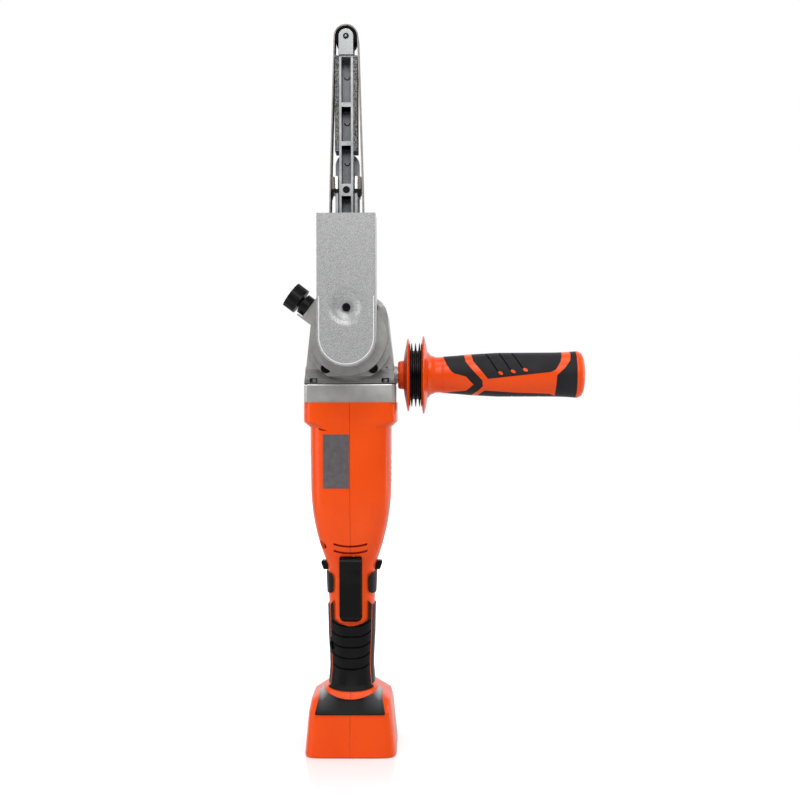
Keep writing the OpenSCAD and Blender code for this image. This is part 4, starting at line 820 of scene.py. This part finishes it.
# %% [markdown]
# Two cutting tools come next. One cuts marked faces level. The other presses a shallow V
# groove along a plane: three cuts side by side, and the middle one is sunk into the
# surface. Its width and depth are in mm, as the softened edges are.


# %% Cutting and grooving
PARTING = 0.3 * MM


def cut_level(piece, test, height):
    """Cuts the faces that pass the test along a level plane."""
    mark(piece, test)
    bpy.ops.mesh.bisect(plane_co=(0, 0, height), plane_no=(0, 0, 1))
    bpy.ops.object.mode_set(mode="OBJECT")


def groove(piece, test, place, normal, width, depth, slot=0, within=None):
    """Presses a V groove, sizes in mm, where a plane cuts the faces that pass the test."""
    direction = Vector(normal).normalized()
    for shift in (-width / 2, width / 2, 0):
        mark(piece, test)
        bpy.ops.mesh.select_mode(type="VERT")
        point = Vector(place) + direction * shift * MM
        bpy.ops.mesh.bisect(plane_co=point, plane_no=direction)
        bpy.ops.object.mode_set(mode="OBJECT")
    corners = piece.data.vertices
    for corner in corners:
        corner.select = corner.select and (within is None or within(corner.co))
    for face in piece.data.polygons:
        if any(corners[k].select for k in face.vertices):
            face.material_index = slot
    # Corners on the parting line stay out, so the two halves still meet there
    for corner in corners:
        corner.select = corner.select and abs(corner.co.x) > PARTING
    bpy.ops.object.mode_set(mode="EDIT")
    bpy.ops.transform.shrink_fatten(value=-depth * MM)
    bpy.ops.object.mode_set(mode="OBJECT")


parting_corners = sum(abs(corner.co.x) < PARTING for corner in frame["nodes"]["grip_left"].data.vertices)
print("loose corners on the left grip's parting line:", parting_corners)

# %% [markdown]
# The piping is taken from the rubber itself: the faces over the gap are copied, parted
# from the rubber and drawn out to a thickness. So it follows the grip's curve without
# any fitting. Two level cuts let it end where the left half has a screw.

# %% Piping
PIPING_RISE = 0.55 * MM
PIPING_END = 6.5 * MM


def add_piping(rubber, node):
    """Parts a piping from the rubber's faces over the gap and gives it a thickness."""
    for height in (-PIPING_END, PIPING_END):
        cut_level(rubber, on_front, screw_hole_z + height)
    mark(rubber, on_gap)
    bpy.ops.mesh.duplicate()
    bpy.ops.mesh.separate(type="SELECTED")
    bpy.ops.object.mode_set(mode="OBJECT")
    piping = [made for made in bpy.context.selected_objects if made != rubber][0]
    piping.name = node.replace("grip", "piping")
    mark(piping, anywhere)
    bpy.ops.mesh.extrude_region_shrink_fatten(TRANSFORM_OT_shrink_fatten={"value": PIPING_RISE})
    bpy.ops.mesh.select_all(action="SELECT")
    bpy.ops.mesh.normals_make_consistent(inside=False)
    bpy.ops.object.mode_set(mode="OBJECT")
    piping.data.materials.clear()
    piping.data.materials.append(orange_nylon)
    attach(piping, BODY_OF[node])
    print(piping.name, "size in mm:", [round(side / MM, 1) for side in piping.dimensions])


grip_rubbers = []
for node in ("grip_left", "grip_right"):
    grip_rubbers.append(finished(merged_copy(node, node + "_soft"), node))
    add_piping(grip_rubbers[-1], node)

# %% [markdown]
# The ribs run right across the front, so both rubbers get them from the same planes. The
# edges are softened after that, which also rounds the ribs.

# %% Ribs of the grip
RIB_COUNT = 5
RIB_STEP = 8.7 * MM
RIB_TOP = 4.5 * MM
RIB_LEAN = 0.8
for rubber in grip_rubbers:
    # The grooves take the nearly black finish as painted shade.
    rubber.data.materials.append(painted_shade_black)
    for step in range(RIB_COUNT):
        rib_place = (0, grip_low.y, palm_z - RIB_TOP - step * RIB_STEP)
        groove(rubber, on_front, rib_place, (0, -RIB_LEAN, 1), width=1.1, depth=0.45, slot=1)
    soften(rubber, 0.35)
    print(rubber.name, "faces:", len(rubber.data.polygons))

# %% [markdown]
# The recess of the screw beside the piping is deep, so its orange wall lies in the dark,
# and it is painted black as shade.
# The faces within a small circle round the screw are picked on the left housing half.

# %% Painted shade in the recess of the grip's screw
RECESS_RADIUS = 4.6 * MM
GRIP_FRONT = 19.8 * MM
SCREW_INSET = 5.8 * MM
SIDE_WALL = 6 * MM
recess_y = -(GRIP_FRONT - SCREW_INSET)


def in_recess(face):
    away = sqrt((face.center.y - recess_y) ** 2 + (face.center.z - screw_hole_z) ** 2)
    return face.center.x < -SIDE_WALL and away < RECESS_RADIUS


shell = bpy.data.objects["housing_left_soft"]
print("recess faces:", give(shell, painted_shade_black, in_recess))

# %% [markdown]
# ## Trigger
# The trigger has a few fine arched ridges under its top, where the finger first meets
# it. The grip's groove tool does them as well. They are pressed in after the long edges
# are rounded, so they stay crisp.

# %% Trigger
PADDLE_DEPTH = 9 * MM
RIDGE_COUNT = 4
RIDGE_TOP = 4.2 * MM
RIDGE_STEP = 1.5 * MM
RIDGE_LEAN = 0.3


def on_paddle(corner):
    return corner.y < trigger_low.y + PADDLE_DEPTH


trigger = merged_copy("trigger", "trigger_soft")
soften(trigger, 1.2)
for step in range(RIDGE_COUNT):
    ridge_place = (0, trigger_low.y, trigger_high.z - RIDGE_TOP - step * RIDGE_STEP)
    groove(trigger, on_paddle, ridge_place, (0, RIDGE_LEAN, 1), width=0.6, depth=0.12)
finished(trigger, "trigger")
print("trigger faces:", len(trigger.data.polygons))

# %% [markdown]
# ## The other pieces with softened edges
# Each of these solids has the right shape already and only needs its edges softened. The
# width in mm is what each piece shows: close to a millimetre on the head's large
# castings, mostly less on the arm and on mouldings, and a tenth or two on screws,
# springs and plates.

# %% Other softened pieces
SOFT_WIDTHS = {
    "foot_aprons": 0.3, "gear_flange": 0.8, "gear_housing": 1.0, "bearing_retainer": 0.5,
    "head_frame": 0.8, "arm_guide": 0.4, "shoe_bracket": 0.2, "shoe_springs": 0.2,
    "belt_shoes": 0.3, "arm_bar": 0.35, "platen_pads": 0.3, "nose_fork": 0.4,
    "nose_axle": 0.2, "nose_roller": 0.3, "knob_nut": 0.4, "lock_knob": 0.5,
    "handle_front_flange": 0.3, "handle_core": 0.3, "handle_end_cap": 0.5,
    "lock_off_bar": 0.8, "cover_screw": 0.15, "retainer_screws": 0.2, "gear_screws": 0.2,
    "housing_screws": 0.2, "arm_screw": 0.2, "spindle_lock_button": 0.5,
    "drive_wheel": 0.3, "drive_tyre": 0.3, "label_plate": 0.1,
}
softened = {}
for node, width in SOFT_WIDTHS.items():
    softened[node] = merged_copy(node, node + "_soft")
    soften(softened[node], width)
    finished(softened[node], node)
print("softened pieces:", len(softened))

# %% [markdown]
# ## The joint's chamfer, painted highlight and painted shade
# The flange and the gear housing meet in a joint with a small chamfer on both sides. A
# wide bevel shrinks to nothing on such a complex outline, so each piece is cut level
# just beside the joint, and its outline at the joint is drawn in.

# %% Chamfered joint of the gear head
CLOSE = 0.05 * MM
JOINT_CUT = 0.7 * MM
JOINT_SHRINK = 0.014
OUTLINE_SHARE = 0.925
housing_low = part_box("gear_housing")[0]
joint_z = housing_low.z


def unmark(piece):
    """Unmarks every corner, edge and face of a piece."""
    for part in (*piece.data.vertices, *piece.data.edges, *piece.data.polygons):
        part.select = False


def chamfer(piece, cut_z):
    """Cuts a piece level at cut_z and draws its outline at the joint in."""
    cut_level(piece, anywhere, cut_z)
    side_x = max(abs(corner.co.x) for corner in piece.data.vertices)
    side_y = max(abs(corner.co.y) for corner in piece.data.vertices)
    unmark(piece)
    for corner in piece.data.vertices:
        outer = max(abs(corner.co.x) / side_x, abs(corner.co.y) / side_y) > OUTLINE_SHARE
        corner.select = outer and abs(corner.co.z - joint_z) < CLOSE
    bpy.ops.object.mode_set(mode="EDIT")
    bpy.ops.mesh.select_mode(type="VERT")
    bpy.ops.transform.resize(value=(1 - JOINT_SHRINK, 1 - JOINT_SHRINK, 1))
    bpy.ops.object.mode_set(mode="OBJECT")


chamfer(softened["gear_flange"], joint_z - JOINT_CUT)
chamfer(softened["gear_housing"], joint_z + JOINT_CUT)
print("joint height in mm:", round(joint_z / MM, 1))

# %% [markdown]
# The flange's chamfer gets a painted highlight, nearly white. The housing's chamfer faces
# down and gets painted shade, and the foot of the housing's front wall gets a darker grey
# as painted shadow. These marks end where a face ends, so whole faces take another
# finish. A mask is only worth its trouble for marks that fade.


# %% Painted highlight and shade on faces of the gear head
HIGHLIGHT_REACH = 0.9 * MM
SHADE_REACH = 1.1 * MM
FRONT_WALL = 4 * MM
SHADOW_HEIGHTS = (0.75 * MM, 12 * MM)


def top_edge(face):
    """The flange's chamfer: close to the joint, and facing neither level nor straight up."""
    return abs(face.center.z - joint_z) < HIGHLIGHT_REACH and 0.15 < face.normal.z < 0.98


def under_edge(face):
    """The housing's chamfer: close to the joint, and facing down."""
    return abs(face.center.z - joint_z) < SHADE_REACH and face.normal.z < -0.15


def low_front(face):
    """The foot of the housing's front wall, above the chamfer."""
    in_front = face.normal.y < -0.5 and face.center.y < housing_low.y + FRONT_WALL
    return in_front and SHADOW_HEIGHTS[0] < face.center.z - joint_z < SHADOW_HEIGHTS[1]


# The flange's chamfer gets a painted highlight.
print("highlight faces:", give(softened["gear_flange"], edge_highlight, top_edge))
# The housing's chamfer faces down and gets painted shade.
print("painted shade faces:", give(softened["gear_housing"], painted_shade_black, under_edge))
# The foot of the front wall gets a darker grey as painted shadow.
print("darker front faces:", give(softened["gear_housing"], shadowed_alloy, low_front))

# %% [markdown]
# The arm bar's rails shine where they were ground, and the roof of each pocket lies in
# the dark, so it is painted black as shade. Both could be drawn in the finish, but the
# faces are there already, so they are picked by place and by the way they face. The nose
# axle is blacked, with a bright turned centre, which is an inset of its front face.

# %% Arm bar and nose axle
RAIL_DEPTH = 0.5 * MM
POCKET_HALF = 3 * MM
BAR_BACK = 1 * MM
BAR_TOP = 2 * MM
AXLE_RIM = 1.0 * MM
bar_low, bar_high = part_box("arm_bar")
axle_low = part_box("nose_axle")[0]


def on_rail(face):
    return face.center.y < bar_low.y + RAIL_DEPTH


def on_roof(face):
    """The pockets' roofs face down, inside the bar and below its top."""
    inside = abs(face.center.x) < POCKET_HALF and face.center.y < bar_high.y - BAR_BACK
    return inside and face.normal.z < -0.9 and face.center.z < bar_high.z - BAR_TOP


print("rail faces:", give(softened["arm_bar"], rail_alloy, on_rail))
# The pockets' roofs are painted black as shade.
print("roof faces:", give(softened["arm_bar"], painted_shade_black, on_roof))
mark(softened["nose_axle"], lambda corner: corner.y < axle_low.y + HAIR)
bpy.ops.mesh.inset(thickness=AXLE_RIM)
bpy.ops.object.mode_set(mode="OBJECT")
print("axle centre:", give(softened["nose_axle"], fork_steel, lambda face: face.select))

# %% [markdown]
# Ejector pins left a round mark on the floor of each upper pocket. The lower half of a
# thin ring is modelled once: a whole ring is cut level through its middle and closed.
# Grooves in the floors would do too, but a laid-on ring keeps the bar's mesh simple. The
# ring is painted nearly black, as the shade that a groove would hold.

# %% Half a ring
MARK_RADIUS = 2.0 * MM
MARK_THICKNESS = 0.4 * MM
bpy.ops.object.select_all(action="DESELECT")
bpy.ops.mesh.primitive_torus_add(major_radius=MARK_RADIUS, minor_radius=MARK_THICKNESS,
                                 major_segments=32, minor_segments=8, rotation=(radians(90), 0, 0))
half_ring = bpy.context.object
bpy.ops.object.transform_apply(location=True, rotation=True, scale=True)
bpy.ops.object.mode_set(mode="EDIT")
bpy.ops.mesh.select_all(action="SELECT")
bpy.ops.mesh.bisect(plane_co=(0, 0, 0), plane_no=(0, 0, 1), clear_outer=True, use_fill=True)
bpy.ops.object.mode_set(mode="OBJECT")
# The ring is painted nearly black as shade.
half_ring.data.materials.append(painted_shade_black)
even_shading(half_ring, 40)
print("half ring in mm:", [round(side / MM, 1) for side in half_ring.dimensions])

# %% [markdown]
# A copy of the half ring lies on each floor. How deep a floor lies isn't typed in: a line
# is sent from the front at the mark's height, and the place where it meets the bar is
# taken. Each copy gets a mesh of its own, and its move is applied to it. So it has the
# tool's own coordinates, like every other piece, and its finish takes its grain from
# them too.

# %% Ejector marks
# How far each mark lies below the top of the bar
MARK_DROPS = (12.6 * MM, 47.5 * MM, 77.9 * MM)


def meet(piece, x, z):
    """Where a line from the front meets a piece, and the way the surface faces there."""
    return piece.ray_cast((x, cad_low.y - 50 * MM, z), (0, 1, 0))[1:3]


def placed_copy(model, name, placing):
    """A copy of a model with its own mesh, put in its place for good."""
    piece = bpy.data.objects.new(name, model.data.copy())
    bpy.context.scene.collection.objects.link(piece)
    piece.matrix_world = placing
    only(piece)
    bpy.ops.object.transform_apply(location=True, rotation=True, scale=True)
    return piece


for number, drop in enumerate(MARK_DROPS, 1):
    spot = meet(softened["arm_bar"], 0, bar_high.z - drop)[0]
    pin_mark = placed_copy(half_ring, f"ejector_mark_{number}", Matrix.Translation(spot))
    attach(pin_mark, BODY_OF["arm_bar"])
    print(pin_mark.name, "at", [round(value / MM, 1) for value in spot])
bpy.data.objects.remove(half_ring)

# %% [markdown]
# ## Side handle
# Three slanting ribs are pressed into the rubber, each just above the place of a small
# orange leaf. A groove's plane cuts right round the handle, so a test keeps only the
# upper front stretch of it.

# %% Handle rubber
# Each leaf's place along the rubber, and its height over the handle's axis
LEAF_PLACES = ((44.6 * MM, 0.8 * MM), (54.5 * MM, 2.1 * MM), (64.2 * MM, 3.3 * MM))
RIB_ASIDE = 1.2 * MM
RIB_CLEARANCE = 1.5 * MM
RIB_END = 4 * MM
handle_low, handle_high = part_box("handle_damper")
handle_z = (handle_low.z + handle_high.z) / 2
rubber_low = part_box("handle_rubber")[0]
rib_slant = Vector((0.85, 0, 0.53))
handle_skin = finished(merged_copy("handle_rubber", "handle_rubber_soft"), "handle_rubber")
# The handle's grooves take the nearly black finish as painted shade.
handle_skin.data.materials.append(painted_shade_black)
for along, up in LEAF_PLACES:
    start = Vector((rubber_low.x + along, 0, handle_z + up))
    groove(handle_skin, anywhere, start - rib_slant * RIB_ASIDE, rib_slant,
           width=0.9, depth=0.4, slot=1,
           within=lambda corner: corner.y < RIB_END and corner.z > start.z + RIB_CLEARANCE)
soften(handle_skin, 0.35)
print("handle axis at mm:", round(handle_z / MM, 1), "faces:", len(handle_skin.data.polygons))

# %% [markdown]
# The leaves are small moulded marks in the handle's orange. Painted spots would look
# flat from the side, so they are solid. One is modelled flat, as a disc that is stretched
# and bevelled, and all three are copies of it. Each copy is turned to lie on the rubber
# where a line from the front meets it, with its length pointing down to the right.

# %% Leaves
LEAF_RADIUS = 1.25 * MM
LEAF_THICKNESS = 0.6 * MM
LEAF_STRETCH = 1.7
LEAF_EDGE = 0.12 * MM
bpy.ops.object.select_all(action="DESELECT")
bpy.ops.mesh.primitive_cylinder_add(vertices=24, radius=LEAF_RADIUS, depth=LEAF_THICKNESS)
first_leaf = bpy.context.object
bpy.ops.object.mode_set(mode="EDIT")
bpy.ops.mesh.select_all(action="SELECT")
bpy.ops.transform.resize(value=(LEAF_STRETCH, 1, 1))
bpy.ops.mesh.bevel(offset=LEAF_EDGE, segments=2, affect="EDGES")
bpy.ops.object.mode_set(mode="OBJECT")
first_leaf.data.materials.append(orange_nylon)
down_right = Vector((0.87, 0, -0.5))
for number, (along, up) in enumerate(LEAF_PLACES, 1):
    spot, outward = meet(handle_skin, rubber_low.x + along, handle_z + up)
    lengthways = (down_right - outward * down_right.dot(outward)).normalized()
    turned = Matrix((lengthways, outward.cross(lengthways), outward)).transposed().to_4x4()
    leaf = placed_copy(first_leaf, f"leaf_{number}", Matrix.Translation(spot) @ turned)
    even_shading(leaf, 40)
    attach(leaf, BODY_OF["handle_rubber"])
    print(leaf.name, "at", [round(value / MM, 1) for value in spot])
bpy.data.objects.remove(first_leaf)

# %% [markdown]
# ## Belt cover
# The cover is a deep pressing, and the dimple round its screw has a broad soft edge. The
# ring of edges round the dimple lies in the front face, so it is found by its distance
# from the screw, and gets a broad bevel of its own before the rest. Bumps alone would
# not bend the light as the real dimple does.

# %% Dimple of the belt cover
DIMPLE_EDGE = 2.4 * MM
DIMPLE_RING = (4 * MM, 14 * MM)
cover_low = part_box("belt_cover")[0]
screw_low, screw_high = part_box("cover_screw")
screw_z = (screw_low.z + screw_high.z) / 2
front_y = cover_low.y + CLOSE
cover = merged_copy("belt_cover", "belt_cover_soft")
cover.data.materials.clear()
cover.data.materials.append(silver_paint)
# The second finish is a painted highlight for the rim line.
cover.data.materials.append(painted_rim_highlight)
unmark(cover)
dimple_edges = 0
for edge in cover.data.edges:
    ends = [cover.data.vertices[k].co for k in edge.vertices]
    away = max(sqrt(end.x ** 2 + (end.z - screw_z) ** 2) for end in ends)
    in_front = max(abs(end.y - cover_low.y) for end in ends) < CLOSE
    edge.select = in_front and DIMPLE_RING[0] < away < DIMPLE_RING[1]
    dimple_edges += edge.select
only(cover)
bpy.ops.object.mode_set(mode="EDIT")
bpy.ops.mesh.select_mode(type="EDGE")
bpy.ops.mesh.bevel(offset=DIMPLE_EDGE, segments=5, affect="EDGES")
bpy.ops.object.mode_set(mode="OBJECT")
print("dimple edges:", dimple_edges)

# %% [markdown]
# Round its lower end the cover has a fine bright line, a little inside the edge, where
# the pressing rolls over. The line is a painted highlight. Two insets of the front face
# draw it, a level cut ends it above the screw, and the faces between the insets get the
# pale highlight finish. They are found by their distance from the outline, which is
# straight at the sides and a half circle below.

# %% Rim of the belt cover
RIM_INSET = 1.3 * MM
RIM_WIDTH = 0.6 * MM
RIM_MARGIN = 0.1 * MM
RIM_TOP = 8 * MM
cut_level(cover, anywhere, screw_z + RIM_TOP)
front_faces = mark(cover, lambda corner: corner.y < front_y)
bpy.ops.mesh.inset(thickness=RIM_INSET)
bpy.ops.mesh.inset(thickness=RIM_WIDTH)
bpy.ops.object.mode_set(mode="OBJECT")
front_corners = [corner.co for corner in cover.data.vertices if corner.co.y < front_y]
front_half = max(abs(corner.x) for corner in front_corners)
arc_z = min(corner.z for corner in front_corners) + front_half
rim_faces = 0
for face in cover.data.polygons:
    x, z = face.center.x, face.center.z
    reach = abs(x) if z > arc_z else sqrt(x ** 2 + (z - arc_z) ** 2)
    flat = face.normal.y < -0.999 and face.center.y < front_y
    inwards = front_half - reach
    on_line = RIM_INSET - RIM_MARGIN < inwards < RIM_INSET + RIM_WIDTH + RIM_MARGIN
    if flat and on_line and z < screw_z + RIM_TOP:
        face.material_index = 1
        rim_faces += 1
print("front faces:", front_faces, "half width in mm:", round(front_half / MM, 1), "rim faces:", rim_faces)

# %% [markdown]
# Last, the cover's own edges are rounded, and it takes the place of its CAD node. It has
# two finishes already, so it only needs the node's body.

# %% Finished belt cover
soften(cover, 0.7, angle=40, smooth=40)
stand_for(cover, "belt_cover")
bpy.ops.object.select_all(action="DESELECT")
print("cover faces:", len(cover.data.polygons))

# %% [markdown]
# ## The end
